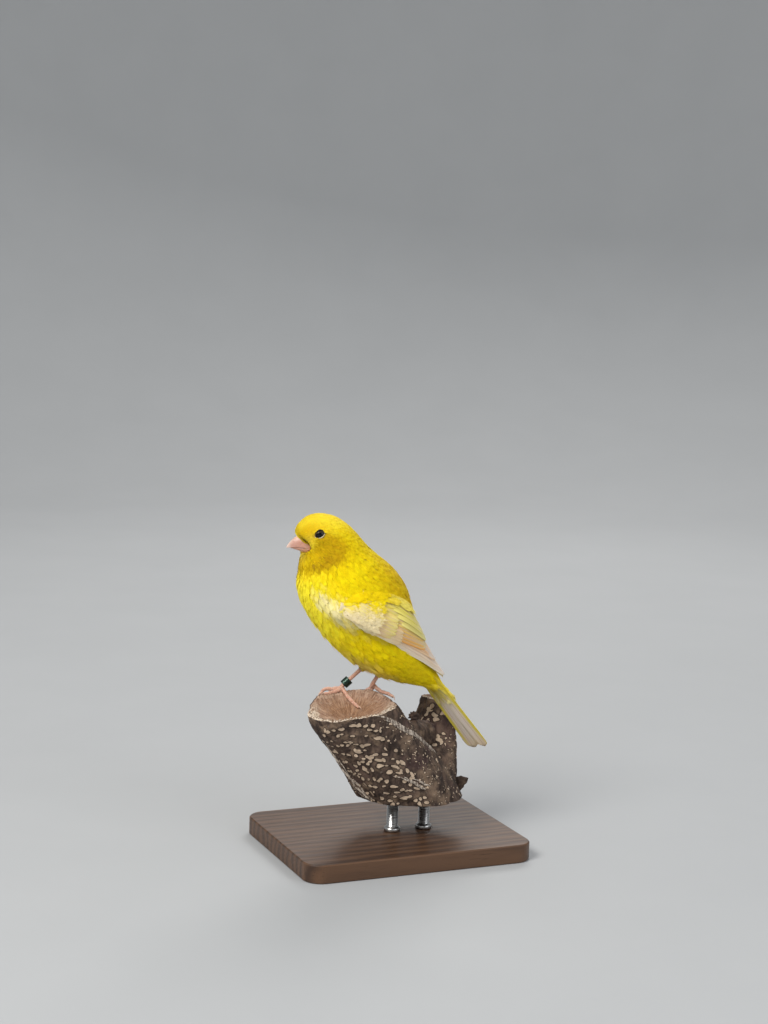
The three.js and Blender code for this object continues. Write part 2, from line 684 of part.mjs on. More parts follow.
const bird = new THREE.Group();
bird.position.set(0, BODY_Y, BODY_Z);
bird.add(
  meshOf('head', head, finish(OCHRE)),
  meshOf('neck', neck, finish(YELLOW)),
  meshOf('torso', torso, finish(YELLOW)),
  meshOf('tail', tailSolid().subtract(bodyAround), finish(FLIGHT)),
  meshOf('bill_upper', billUpper(), finish(HORN, 0.45)),
  meshOf('bill_lower', headed(billHalf(false)), finish(HORN, 0.45)),
  meshOf('leg_ring', legRing(), finish(RING_GREEN, 0.4)),
  meshOf('perch', perch, finish(BARK, 0.9)),
);
for (const [side, sign] of Object.entries(sideOf)) {
  const leg = tarsus(LEGS[side]).subtract(bodyAround);
  const legAround = tarsus(LEGS[side], BALL_GAP);
  bird.add(
    meshOf(`eye_${side}`, eyeBall(sign), finish(EYE_BLACK, 0.1)),
    meshOf(`wing_${side}`, wings[side], finish(FLIGHT)),
    meshOf(`thigh_${side}`, thigh(LEGS[side]).subtract(bodyAround).subtract(legAround), finish(YELLOW)),
    meshOf(`leg_${side}`, leg, finish(SKIN, 0.6)),
    meshOf(`foot_${side}`, footSolid(side).subtract(perchAround).subtract(legAround), finish(SKIN, 0.6)),
  );
}

const canary = new THREE.Group();
canary.add(
  bird,
  meshOf('stand_base', standBase(), finish(DARK_WOOD, 0.5)),
  meshOf('stand_rod_1', standRod(0), finish(STEEL, 0.3, 0.9)),
  meshOf('stand_rod_2', standRod(1), finish(STEEL, 0.3, 0.9)),
);

export default canary;
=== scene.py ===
"""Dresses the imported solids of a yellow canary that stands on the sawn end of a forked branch.

Sizes inside the file are millimetres in the bird's own frame, whose origin is the middle of
its body. It heads towards -Y and its left side is +X. Every piece is put into the model's
frame, in metres, when its mesh is made.
"""

import math

import bpy
import numpy as np
from bpy.props import FloatProperty, FloatVectorProperty, PointerProperty
from mathutils import Matrix


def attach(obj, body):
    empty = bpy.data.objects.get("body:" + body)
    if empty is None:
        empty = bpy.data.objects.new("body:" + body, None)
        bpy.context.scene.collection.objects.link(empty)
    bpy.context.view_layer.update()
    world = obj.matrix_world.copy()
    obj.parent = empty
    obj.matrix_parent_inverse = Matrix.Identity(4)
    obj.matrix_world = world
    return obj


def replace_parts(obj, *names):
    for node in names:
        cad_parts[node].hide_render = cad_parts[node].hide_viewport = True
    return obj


bl_info = {
    "name": "Canary on a branch",
    "version": (1, 0, 0),
    "blender": (4, 5, 0),
    "location": "View3D > Sidebar > Canary",
    "description": "Feathers, bill, eyes, legs, branch and display stand of a life-size canary",
    "category": "Add Mesh",
}

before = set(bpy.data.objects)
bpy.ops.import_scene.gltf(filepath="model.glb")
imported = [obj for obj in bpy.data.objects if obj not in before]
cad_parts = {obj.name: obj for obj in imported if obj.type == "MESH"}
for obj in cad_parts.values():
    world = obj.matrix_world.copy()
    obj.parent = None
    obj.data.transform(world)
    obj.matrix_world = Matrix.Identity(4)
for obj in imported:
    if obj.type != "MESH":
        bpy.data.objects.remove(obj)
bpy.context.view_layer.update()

BIRD_AT = np.array([0.0, -2.0, 96.0])

# The body's sections from the tail's root to the face: back y, z, belly y, z, half width,
# and how far the widest line lies towards the back. The first two run out over the tail
BODY = np.array([
    [29.2, -31.9, 27.4, -33.5, 5.0, 0.0],
    [26.0, -26.8, 23.0, -29.2, 4.4, 0.0],
    [23.0, -20.5, 18.5, -26.2, 3.4, 0.0],
    [17.6, -12.5, 10.0, -24.2, 6.6, -0.05],
    [13.4, -4.8, 1.2, -21.8, 10.6, -0.1],
    [10.6, 3.2, -8.0, -18.2, 13.6, -0.1],
    [8.6, 11.8, -18.0, -12.4, 15.6, -0.1],
    [5.4, 20.0, -27.0, -4.6, 16.8, -0.05],
    [-0.4, 27.6, -34.6, 4.0, 17.0, 0.0],
    [-7.6, 33.4, -40.2, 12.6, 16.0, 0.0],
    [-12.8, 37.8, -42.8, 20.6, 13.6, 0.0],
    [-16.4, 41.8, -42.0, 26.6, 11.8, 0.0],
    [-20.4, 45.9, -41.2, 30.2, 11.0, -0.1],
    [-25.8, 49.5, -40.8, 32.2, 10.7, -0.15],
    [-32.0, 51.0, -40.6, 33.4, 10.0, -0.2],
    [-37.6, 50.2, -40.6, 34.6, 8.4, -0.2],
    [-42.0, 46.6, -42.0, 36.1, 6.2, -0.15],
    [-43.7, 42.7, -44.5, 38.1, 3.4, -0.1],
])
FIRST_SECTION = -2.0
LAST_SECTION = 15.0
HEAD_TURN = math.radians(14)
NECK_PIVOT = -20.0
TURN_FROM, TURN_TO = 8.0, 11.0

TAIL_ROOT = np.array([0.0, 12.6, -12.4])
TAIL_SLOPE = math.radians(51)
TAIL_ROLL = math.radians(30)
TAIL_DOWN = np.array([0.0, math.cos(TAIL_SLOPE), -math.sin(TAIL_SLOPE)])
TAIL_LENGTH = 54.0
TAIL_WIDTH = 12.4
TAIL_PAIRS = 6
QUILL_WIDTH = 5.6

EYE_MIDDLE = np.array([7.7, -33.8, 43.15])
EYE_RADIUS = 2.5
EYE_OPENING = (2.12, 1.2)
EYE_TILT = math.radians(24)
EYE_YAW = math.radians(12)
LID_SHIFT = np.array([0.0, -0.25, 0.0])

FACE_DENT = 5.8
BILL_BASE = np.array([0.0, -35.2, 37.3])
BILL_TIP = np.array([0.0, -47.0, 36.7])
CULMEN, CHIN, BILL_HALF_WIDTH = 6.9, 2.5, 4.0
LOWER_REACH, GAPE_DROP, MOUTH = 0.92, 1.8, 0.2
NOSTRIL_AT, NOSTRIL_SIZE = np.array([2.35, -40.0, 40.9]), np.array([1.2, 0.62, 0.5])

WING_CHORD = 70.0
WING_LOW = np.array([
    [15.2, -31.0, 12.5], [16.6, -22.0, 5.6], [16.4, -13.6, 0.5], [14.8, -5.4, -4.2],
    [12.2, 2.6, -8.9], [9.4, 10.8, -13.4], [6.4, 18.4, -17.8], [4.0, 25.4, -22.4],
])
WING_HIGH = np.array([
    [14.6, -30.0, 16.5], [13.8, -19.0, 19.4], [11.0, -8.6, 18.6], [7.0, 1.0, 13.4],
    [2.8, 7.8, 4.8], [1.2, 12.6, -4.6], [1.0, 18.2, -12.8], [2.0, 24.2, -19.4],
])
WING_BULGE = np.array([[1.2], [2.6], [4.2], [5.4], [5.0], [3.6], [1.9], [0.5]])

LEGS = {
    "right": {"top": (-4.6, -7.4, -14.5), "ankle": (-7.4, -18.4, -25.1), "plume": 0.30},
    "left": {"top": (1.6, -2.7, -14.4), "ankle": (-2.5, -6.5, -24.3), "plume": 0.56},
}
TARSUS_RADIUS, TOE_RADIUS = 0.85, 0.78
TOES = {
    "right": [(-36, 10), (-14, 12), (8, 10.5), (108, 13.5)],
    "left": [(-40, 9.5), (-62, 10.5), (-88, 9), (115, 12.5)],
}
RING_LIFT, RING_HEIGHT, RING_BORE, RING_OUTER = 0.8, 3.4, 1.35, 2.0

# The branch's level sections: middle x, y, z, half length and half width
ARM = np.array([
    [4.5, 9.6, -72, 23, 19], [5.6, 2.6, -62, 23, 18.5], [6.9, -6.4, -50, 22, 17.6],
    [8.2, -15.4, -38, 20.4, 16.8], [9.0, -20.2, -29.8, 18.4, 16.2],
])
STUB = np.array([
    [-0.9, 17.9, -72, 14, 13], [-4.6, 23.1, -60, 12, 11.5], [-10.2, 27.4, -50, 10, 9.0],
    [-15.2, 31.0, -41, 7.8, 7.2], [-17.8, 32.0, -36, 6.4, 5.8],
])
SQUARE = 0.86
LEAN = math.radians(66)
LONG = np.array([-math.cos(LEAN), -math.sin(LEAN), 0.0])
WIDE = np.array([math.sin(LEAN), -math.cos(LEAN), 0.0])
FACE_FORWARD, FACE_LEFT = math.tan(math.radians(13)), math.tan(math.radians(4))
FACE_RISE, FACE_FALL, FACE_HOLLOW = 3.0, 4.4, 7.0
STUB_CUT, STUB_CROWN = (0.04, -0.14), 1.5

BASE_THICKNESS = 8.0
ROD_RADIUS, ROD_SPREAD, ROD_GAP = 2.5, 15.0, 0.3


def smooth(value):
    """Smooth step: 0 below 0, 1 above 1, and 3x^2 - 2x^3 between."""
    x = np.clip(value, 0.0, 1.0)
    return x * x * (3 - 2 * x)


def circle(count):
    """Angles of a count of even steps round a full turn."""
    return np.arange(count) / count * 2 * np.pi


def stacked(*parts):
    """Arrays of one shape, or that stretch to one, side by side along a new last axis."""
    return np.stack(np.broadcast_arrays(*parts), -1)


def unit(vectors):
    """Vectors of length one along the last axis."""
    return vectors / np.maximum(np.linalg.norm(vectors, axis=-1, keepdims=True), 1e-9)


def along(rows, share):
    """Uniform Catmull-Rom curve through rows of numbers, at shares from 0 to 1."""
    rows = np.asarray(rows, float)
    place = np.clip(np.asarray(share, float), 0, 1) * (len(rows) - 1)
    low = np.minimum(place.astype(int), len(rows) - 2)
    f = (place - low)[..., None]
    a, b, c, d = (rows[np.clip(low + k, 0, len(rows) - 1)] for k in (-1, 0, 1, 2))
    leave, arrive = (c - a) / 2, (d - b) / 2
    return ((2 * (b - c) + leave + arrive) * f + 3 * (c - b) - 2 * leave - arrive) * f * f + leave * f + b


def turned(points, share=1.0):
    """Points turned about the neck's upright axis, to the bird's right, by a share of the head's turn."""
    angle = -HEAD_TURN * np.asarray(share, float)
    x, y = points[..., 0], points[..., 1] - NECK_PIVOT
    return stacked(
        x * np.cos(angle) - y * np.sin(angle),
        NECK_PIVOT + x * np.sin(angle) + y * np.cos(angle),
        points[..., 2],
    )


def spun(points, middle, axis, angle):
    """Points spun about an axis through a middle, by Rodrigues' formula."""
    away = points - middle
    angle = np.asarray(angle, float)[..., None]
    lengthwise = (away @ axis)[..., None] * axis
    return middle + lengthwise + (away - lengthwise) * np.cos(angle) + np.cross(axis, away) * np.sin(angle)


# Meshes


def grid_faces(rows, columns, closed):
    """Quads of a grid of points, row by row. Closed joins the last column to the first."""
    i, j = np.meshgrid(np.arange(rows - 1), np.arange(columns if closed else columns - 1), indexing="ij")
    near, beside = i * columns + j, i * columns + (j + 1) % columns
    return stacked(near, beside, beside + columns, near + columns).reshape(-1, 4)


def piece(name, points, faces, finish, values=None, maps=None):
    """One mesh object from points in bird millimetres and an array of faces, all of one size.

    The finish gives its material. Values are numbers or vectors for each point,
    kept as attributes. Maps are UV maps for each point. The piece rides on the one body.
    """
    points, faces = np.asarray(points, float).reshape(-1, 3), np.asarray(faces, np.int32)
    mesh = bpy.data.meshes.new(name)
    mesh.vertices.add(len(points))
    mesh.vertices.foreach_set("co", ((points + BIRD_AT) / 1000).astype(np.float32).ravel())
    mesh.loops.add(faces.size)
    mesh.loops.foreach_set("vertex_index", faces.ravel())
    mesh.polygons.add(len(faces))
    mesh.polygons.foreach_set("loop_start", np.arange(len(faces), dtype=np.int32) * faces.shape[1])
    mesh.update(calc_edges=True)
    mesh.polygons.foreach_set("use_smooth", np.ones(len(faces), bool))
    for key, value in (values or {}).items():
        value = np.asarray(value, np.float32)
        vector = value.ndim == 2
        mesh.attributes.new(key, "FLOAT_VECTOR" if vector else "FLOAT", "POINT")
        mesh.attributes[key].data.foreach_set("vector" if vector else "value", value.ravel())
    for key, value in (maps or {}).items():
        layer = mesh.uv_layers.new(name=key)
        layer.data.foreach_set("uv", np.asarray(value, np.float32)[faces.ravel()].ravel())
    mesh.materials.append(MATERIALS[finish])
    thing = bpy.data.objects.new(name, mesh)
    bpy.context.scene.collection.objects.link(thing)
    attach(thing, "root")
    return thing


def outward(points, faces):
    """Faces of a closed mesh in the order that makes them face outwards.

    The sum of the volumes between each face and the origin is negative when they face inwards.
    """
    corners = points[faces]
    volume = np.einsum("ij,ij->i", corners[:, 0], np.cross(corners[:, 1], corners[:, 2])).sum()
    if faces.shape[1] == 4:
        volume += np.einsum("ij,ij->i", corners[:, 0], np.cross(corners[:, 2], corners[:, 3])).sum()
    return faces if volume > 0 else faces[:, ::-1]


def closed_tube(rings):
    """Points and triangles of rings of points, one after another, closed by a pole at each end."""
    count, sides = rings.shape[:2]
    quads = grid_faces(count, sides, True)
    points = np.concatenate([rings.reshape(-1, 3), [rings[0].mean(0), rings[-1].mean(0)]])
    side = np.arange(sides)
    after = (side + 1) % sides
    first = stacked(count * sides, after, side)
    last_row = (count - 1) * sides
    last = stacked(count * sides + 1, last_row + side, last_row + after)
    return points, outward(points, np.concatenate([quads[:, [0, 1, 2]], quads[:, [0, 2, 3]], first, last]))


def joined(parts):
    """Several pairs of points and faces as one, with the faces' numbers moved on for each."""
    points, faces, start = [], [], 0
    for some, more in parts:
        points.append(some)
        faces.append(np.asarray(more) + start)
        start += len(some)
    return np.concatenate(points), np.concatenate(faces)


def frames_along(path):
    """Two directions across each point of a path, each the last with its part along the path taken off."""
    ahead = unit(np.gradient(path, axis=0))
    seed = np.array([0.0, 0.0, 1.0]) if abs(ahead[0, 2]) < 0.9 else np.array([1.0, 0.0, 0.0])
    across = [unit(np.cross(ahead[0], seed))]
    for way in ahead[1:]:
        across.append(unit(across[-1] - way * (across[-1] @ way)))
    across = np.array(across)
    return across, np.cross(ahead, across)


def tube_rings(path, radii, sides):
    """Circles of points across a path. Radii are one for each point, or one for each point and side."""
    across, up = frames_along(path)
    angle = circle(sides)
    radii = np.broadcast_to(np.asarray(radii, float).reshape(len(path), -1), (len(path), sides))[..., None]
    way = across[:, None] * np.cos(angle)[None, :, None] + up[:, None] * np.sin(angle)[None, :, None]
    return path[:, None] + way * radii


# The body's plumage


def body(section, angle, out=0.0):
    """The plumage's even surface: an oval across the body at each section, turned at the neck.

    The angle runs from the back over the left side. Each oval is a sine across and a
    cosine from back to belly, with its widest line shifted towards the back.
    """
    section, angle = np.broadcast_arrays(np.asarray(section, float), np.asarray(angle, float))
    rows = along(BODY, (section - FIRST_SECTION) / (LAST_SECTION - FIRST_SECTION))
    by, bz, vy, vz, width, rise = np.moveaxis(rows, -1, 0)
    half = np.hypot(by - vy, bz - vz) / 2
    depth = (half + out) * (np.cos(angle) + rise * np.sin(angle) ** 2) / (2 * half)
    points = stacked(
        (width + out) * np.sin(angle),
        (by + vy) / 2 + (by - vy) * depth,
        (bz + vz) / 2 + (bz - vz) * depth,
    )
    middle = stacked(0 * by, (by + vy) / 2, (bz + vz) / 2)
    points = spun(points, middle, TAIL_DOWN, -TAIL_ROLL * smooth((1 - section) / 3))
    return turned(points, smooth((section - TURN_FROM) / (TURN_TO - TURN_FROM)))


def wing_chart(s, t):
    """The left wing's surface: s millimetres from the wrist, t from 0 at its lower edge to 1 at its upper.

    It is a line between the two edges' curves, bulged outwards by a parabola over t.
    """
    s, t = np.broadcast_arrays(np.asarray(s, float), np.asarray(t, float))
    u = np.clip(s / WING_CHORD, 0, 1)
    low, high = along(WING_LOW, u), along(WING_HIGH, u)
    ahead = along(WING_LOW, u + 0.02) - along(WING_LOW, u - 0.02)
    out = unit(np.cross(ahead, high - low))
    out *= np.where(out[..., :1] < 0, -1.0, 1.0)
    bulge = along(WING_BULGE, u)
    t = t[..., None]
    return low + (high - low) * t + out * bulge * 4 * t * (1 - t)


class Surface:
    """A surface on a fine grid of rows and columns, which gives points, normals and stretches."""

    def __init__(self, rows, columns, points, closed):
        self.first, self.step = rows[0], rows[1] - rows[0]
        self.left, self.pace = columns[0], columns[1] - columns[0]
        self.closed = closed
        around = np.gradient(points, columns, axis=1)
        if closed:
            around[:, 0] = (points[:, 1] - points[:, -1]) / (2 * self.pace)
            around[:, -1] = (points[:, 0] - points[:, -2]) / (2 * self.pace)
        ahead = np.gradient(points, rows, axis=0)
        normals = unit(np.cross(ahead, around))
        stretch = stacked(np.linalg.norm(ahead, axis=-1), np.linalg.norm(around, axis=-1))
        self.grid = np.concatenate([points, normals, stretch], -1)

    def sample(self, row, column):
        """Points, normals and the two stretches in millimetres per unit, between the grid's points."""
        high, wide = self.grid.shape[:2]
        r = np.clip((row - self.first) / self.step, 0, high - 1.001)
        c = (column - self.left) / self.pace
        c = c % wide if self.closed else np.clip(c, 0, wide - 1.001)
        i, j = r.astype(int), c.astype(int)
        f, g = (r - i)[..., None], (c - j)[..., None]
        k = (j + 1) % wide
        near = self.grid[i, j] * (1 - g) + self.grid[i, k] * g
        far = self.grid[i + 1, j] * (1 - g) + self.grid[i + 1, k] * g
        both = near * (1 - f) + far * f
        return both[..., :3], unit(both[..., 3:6]), both[..., 6], both[..., 7]


def eye_frame(side):
    """The lid opening's middle and its three directions: along it, up it and outwards."""
    yaw, pivot = -side * EYE_YAW, np.array([0, NECK_PIVOT, 0])
    lengthwise = np.array([0.0, math.cos(EYE_TILT), math.sin(EYE_TILT)])
    upward = np.array([0.0, -math.sin(EYE_TILT), math.cos(EYE_TILT)])
    out = np.array([float(side), 0.0, 0.0])
    turn = np.array([[math.cos(yaw), -math.sin(yaw), 0], [math.sin(yaw), math.cos(yaw), 0], [0, 0, 1]])
    middle = EYE_MIDDLE * [side, 1, 1] + LID_SHIFT
    return turned(middle), *(turned(turn @ way + pivot) - pivot for way in (lengthwise, upward, out))


def eye_reach(points, side):
    """How far points lie from the eye's middle in lengths of its opening: 1 on the lids' rim."""
    middle, lengthwise, upward, out = eye_frame(side)
    away = points - middle
    reach = np.hypot(away @ lengthwise / EYE_OPENING[0], away @ upward / EYE_OPENING[1])
    return np.where(away @ out > -1, reach, 99.0)


def shoulder_rise(points, normals):
    """How far the plumage is lifted beside the folded wings, so that it meets their edges.

    The nearest point of the wing's chart gives a height over the body. The plumage rises
    over it at the wrist and the upper edge, keeps under it behind, and falls back to the
    body's even surface within 9 mm beside it.
    """
    s, t = np.meshgrid(np.linspace(1, 40, 40), np.linspace(0, 1, 15), indexing="ij")
    chart = wing_chart(s, t).reshape(-1, 3)
    s, t = s.ravel(), t.ravel()
    over = np.maximum(np.interp(s, [0, 6, 15], [1.9, 1.2, -1.2]), 2.2 * smooth((t - 0.78) / 0.2) - 1.2)
    fade = smooth((38 - s) / 14)
    rise = np.zeros(len(points))
    cover = np.zeros(len(points))
    for side in (1, -1):
        wing = chart * [side, 1, 1]
        for part in np.array_split(np.arange(len(points)), 60):
            away = wing[None] - points[part, None]
            near = np.argmin((away ** 2).sum(-1), 1)
            nearest = away[np.arange(len(part)), near]
            height = (nearest * normals[part]).sum(-1)
            beside = np.linalg.norm(nearest - height[:, None] * normals[part], axis=-1)
            close = smooth(1 - beside / 9) * fade[near] * (np.abs(height) < 9)
            rise[part] = np.maximum(rise[part], np.maximum(height + over[near], 0) * close)
            hidden = (beside < 0.8) * (s[near] > 9) * (t[near] < 0.8)
            cover[part] = np.maximum(cover[part], hidden * smooth((34 - s[near]) / 4))
    return rise, cover


def plumage_surface():
    """The coat's surface, and which of its points the wings cover.

    The body's even surface is lifted beside the wings by an amount that six rounds of
    averaging with its neighbours even out. Round the bill's base it is pressed back along
    the bill by up to FACE_DENT, least above the bill's ridge.
    """
    sections = np.linspace(FIRST_SECTION, LAST_SECTION, 171)
    angles = circle(180)
    rows, columns = np.meshgrid(sections, angles, indexing="ij")
    even = Surface(sections, angles, body(rows, columns), True)
    flat = even.grid.reshape(-1, 8)
    rise, cover = shoulder_rise(flat[:, :3], flat[:, 3:6])
    rise = rise.reshape(rows.shape)
    for _ in range(6):
        beside = rise + np.roll(rise, 1, 1) + np.roll(rise, -1, 1)
        rise = (beside + np.roll(rise, 1, 0) + np.roll(rise, -1, 0)) / 5
    base, tip = turned(BILL_BASE), turned(BILL_TIP)
    axis = unit(tip - base)
    away = even.grid[..., :3] - base
    ahead = away @ axis
    aside = away - ahead[..., None] * axis
    level, beside = aside[..., 2], np.hypot(aside[..., 0], aside[..., 1])
    reach = np.hypot(beside, level * np.where(level < 0, 3.4, 1.3))
    share = beside ** 2 / (beside ** 2 + np.maximum(level, 0) ** 2 + 0.3)
    dent = FACE_DENT * share * smooth(1 - (reach - 3.5) / 7.5) * (ahead > -9)
    points = even.grid[..., :3] + even.grid[..., 3:6] * rise[..., None] - axis * dent[..., None]
    return Surface(sections, angles, points, True), cover.reshape(rows.shape)


# Feathers' lengths over the body: section, millimetres
PLUME_LENGTHS = np.array([
    [-2.0, 8.0], [0.0, 7.4], [2.0, 7.6], [4.0, 7.4], [6.0, 6.4], [8.0, 5.2], [9.5, 3.8],
    [11.0, 2.7], [12.5, 2.0], [13.8, 1.5], [15.0, 1.05],
])


def plume_length(section):
    """A coat feather's length at a section, straight between the rows of PLUME_LENGTHS."""
    return np.interp(section, PLUME_LENGTHS[:, 0], PLUME_LENGTHS[:, 1])


def planted(surface, first, last, length_at, spacing, random, span=(0.0, 2 * np.pi)):
    """Roots in uneven rows over a surface from a first row to a last, closer where feathers are short.

    Each row has as many roots as its length allows. A root stays by a chance that is the
    surface's stretch there over the row's greatest, so that they are equally dense.
    """
    way = 1 if last > first else -1
    rows, columns = [], []
    row = first
    while (last - row) * way > 0:
        gap = length_at(row) * spacing
        look = np.linspace(*span, 90)
        stretch, girth = surface.sample(np.full(90, row), look)[2:]
        count = max(3, int(girth.mean() * (span[1] - span[0]) / gap))
        place = (np.arange(count) + random.random() + random.uniform(-0.3, 0.3, count)) / count
        place = span[0] + place * (span[1] - span[0])
        local = np.interp(place, look, stretch)
        step = gap / stretch.max()
        kept = random.random(count) < local / stretch.max()
        rows.append(row + random.uniform(-0.5, 0.5, kept.sum()) * step * way)
        columns.append(place[kept])
        row += step * way
    return np.concatenate(rows), np.concatenate(columns)


# A coat feather's rows of points from root to tip as shares of its length, and its half width
# at the first three
STATIONS = np.array([0.0, 0.32, 0.64, 1.0])
OUTLINE = np.array([0.45, 0.9, 1.0])


BLADES = 5
ROOT_SINK, ROOT_SKEW = 0.3, 0.16


def plumes(surface, row, column, length, width, way, random, rise, stray=0.0):
    """Feathers that lie along a surface, each a sheet of blades that part into points at the tip.

    A point's place is the surface's point at a share of the feather's length from its
    root, moved across by the blade's place times the outline, and lifted from under the
    surface at the root to over it at the tip, less at the edges than in the middle.
    """
    count = len(row)
    turn = random.normal(0, ROOT_SKEW, count)
    stretch, girth = surface.sample(row, column)[2:]
    down = STATIONS[:, None] * length
    rows = row + way * down * np.cos(turn) / stretch
    columns = column + down * np.sin(turn) / girth
    middle, out, _, radius = surface.sample(rows, columns)
    rise = rise * random.uniform(0.7, 1.3, count) + stray * random.random(count) ** 6
    lift = -ROOT_SINK + (ROOT_SINK + rise) * STATIONS[:, None] ** 0.8
    middle = middle + out * lift[..., None]
    ahead = unit(np.gradient(middle, STATIONS, axis=0))
    across = unit(np.cross(ahead, out))

    wide = BLADES + 1
    x = np.linspace(-1, 1, wide)
    half = width / 2
    radius = np.maximum(radius if surface.closed else np.full_like(radius, 14.0), 2.0)
    bow = (half ** 2 / (2 * radius) + 0.06 * half)[:3]
    body_x = np.broadcast_to(x, (3, wide))
    reach = OUTLINE[:, None, None] * half[None, :, None] * body_x[:, None, :]
    low = bow[..., None] * (body_x ** 2)[:, None, :] * OUTLINE[:, None, None] ** 2
    sheet = middle[:3, :, None] + across[:3, :, None] * reach[..., None] - out[:3, :, None] * low[..., None]
    tip_x = (x[:-1] + x[1:]) / 2
    share = 1 - 0.34 * tip_x ** 2 + random.normal(0, 0.09, (count, BLADES))
    beyond = ((share - STATIONS[3]) / (STATIONS[3] - STATIONS[2]))[..., None]
    step = (middle[3] - middle[2])[:, None]
    spread = (half[:, None] * (tip_x * 0.8 + random.normal(0, 0.08, (count, BLADES))))[..., None]
    low = ((half ** 2 / (2 * radius[3]))[:, None] * tip_x ** 2)[..., None]
    tips = middle[3][:, None] + step * beyond + across[3][:, None] * spread - out[3][:, None] * low
    points = np.concatenate([sheet.transpose(1, 0, 2, 3).reshape(count, -1, 3), tips], 1)

    j = np.arange(BLADES)
    near = np.concatenate([j, wide + j])
    pattern = np.concatenate([
        stacked(near, near + 1, near + wide + 1), stacked(near, near + wide + 1, near + wide),
        stacked(2 * wide + j, 2 * wide + j + 1, 3 * wide + j),
    ])
    size = points.shape[1]
    faces = (pattern[None] + np.arange(count)[:, None, None] * size).reshape(-1, 3)
    local_x = np.broadcast_to(np.concatenate([np.tile(x, 3), tip_x]), (count, size))
    local_y = np.concatenate([np.broadcast_to(np.repeat(STATIONS[:3], wide), (count, 3 * wide)), share], 1)
    return points.reshape(-1, 3), faces, stacked(local_x, local_y), size


def plume_piece(name, made, place, bake, finish, random, tint=None):
    """A piece of coat from made feathers, with each one's place, random draw and maps."""
    points, faces, local, size = made
    count = len(place)
    draw = np.repeat(random.random(count), size)
    spot = np.repeat(np.concatenate([place, np.zeros((count, 1))], -1), size, axis=0)
    patch = np.repeat(bake, size, axis=0).reshape(count, size, 2) + local * [0.0015, 0.003]
    values = {"place": spot, "draw": draw}
    if tint is not None:
        values["tint"] = np.repeat(tint, size, axis=0)
    maps = {"OFBake": patch.reshape(-1, 2), "Vane": local.reshape(-1, 2)}
    return piece(name, points, faces, finish, values, maps)


# Materials


def plug(tree, value, socket):
    """Links an output to a socket, or sets the socket's value."""
    if isinstance(value, bpy.types.NodeSocket):
        tree.links.new(value, socket)
    elif socket.type == "RGBA":
        socket.default_value = (*value, 1)
    else:
        socket.default_value = value


def add(tree, kind, inputs=None, **settings):
    """Adds a node. An input that is another node's output is linked to it, any other is set."""
    made = tree.nodes.new(kind)
    for key, value in settings.items():
        setattr(made, key, value)
    for key, value in (inputs or {}).items():
        plug(tree, value, made.inputs[key])
    return made


def maths(tree, operation, *values):
    """The result of a maths node of one to three values or outputs."""
    return add(tree, "ShaderNodeMath", dict(enumerate(values)), operation=operation).outputs[0]


def times(tree, a, b):
    """Two values or outputs multiplied."""
    return maths(tree, "MULTIPLY", a, b)


def vector(tree, operation, a, b=(0, 0, 0)):
    """The result of a vector maths node of two vectors or outputs, or its length."""
    made = add(tree, "ShaderNodeVectorMath", {0: a, 1: b}, operation=operation)
    return made.outputs["Value" if operation == "LENGTH" else "Vector"]


def mix(tree, factor, a, b, blend="MIX"):
    """Two colours mixed by a factor."""
    made = add(tree, "ShaderNodeMix", {0: factor, 6: a, 7: b}, data_type="RGBA", blend_type=blend)
    return made.outputs[2]


def ramp(tree, value, low, high, start=0.0, stop=1.0):
    """A smooth step of a value from low to high, between start and stop."""
    return add(tree, "ShaderNodeMapRange", {
        "Value": value, "From Min": low, "From Max": high, "To Min": start, "To Max": stop,
    }, interpolation_type="SMOOTHSTEP").outputs[0]


def noise(tree, vector, scale, detail=3.0, roughness=0.55, distortion=0.0):
    """A noise texture's value in 0 to 1."""
    return add(tree, "ShaderNodeTexNoise", {
        "Vector": vector, "Scale": scale, "Detail": detail, "Roughness": roughness, "Distortion": distortion,
    }).outputs["Fac"]


def stretched(tree, vector, scale):
    """A vector scaled along each axis."""
    return add(tree, "ShaderNodeMapping", {"Vector": vector, "Scale": scale}).outputs[0]


def here(tree):
    """The place on the piece, in the shared frame."""
    return add(tree, "ShaderNodeTexCoord").outputs["Object"]


def attribute(tree, name, output="Fac"):
    """One of the mesh's own values, by its name."""
    return add(tree, "ShaderNodeAttribute", attribute_name=name).outputs[output]


def split(tree, vector):
    """A vector's three parts."""
    return add(tree, "ShaderNodeSeparateXYZ", {0: vector}).outputs


def bump(tree, height, strength, distance):
    """A normal bent by a height, for a distance in metres."""
    return add(tree, "ShaderNodeBump", {
        "Height": height, "Strength": strength, "Distance": distance,
    }).outputs[0]


def group(name, takes, gives, build):
    """A node group. It takes vectors, given as None, and numbers, given as their defaults.

    Build gets its tree and its inputs, and returns its outputs by name.
    """
    tree = bpy.data.node_groups.new(name, "ShaderNodeTree")
    for key, value in takes.items():
        kind = "NodeSocketVector" if value is None else "NodeSocketFloat"
        socket = tree.interface.new_socket(key, in_out="INPUT", socket_type=kind)
        if value is not None:
            socket.default_value = value
    for key, kind in gives.items():
        tree.interface.new_socket(key, in_out="OUTPUT", socket_type=kind)
    start, stop = tree.nodes.new("NodeGroupInput"), tree.nodes.new("NodeGroupOutput")
    for key, value in build(tree, start.outputs).items():
        tree.links.new(value, stop.inputs[key])


def placed(tree, name, inputs):
    """A group placed in a tree, with its inputs linked or set. Returns its outputs."""
    node = tree.nodes.new("ShaderNodeGroup")
    node.node_tree = bpy.data.node_groups[name]
    for key, value in inputs.items():
        plug(tree, value, node.inputs[key])
    return node.outputs


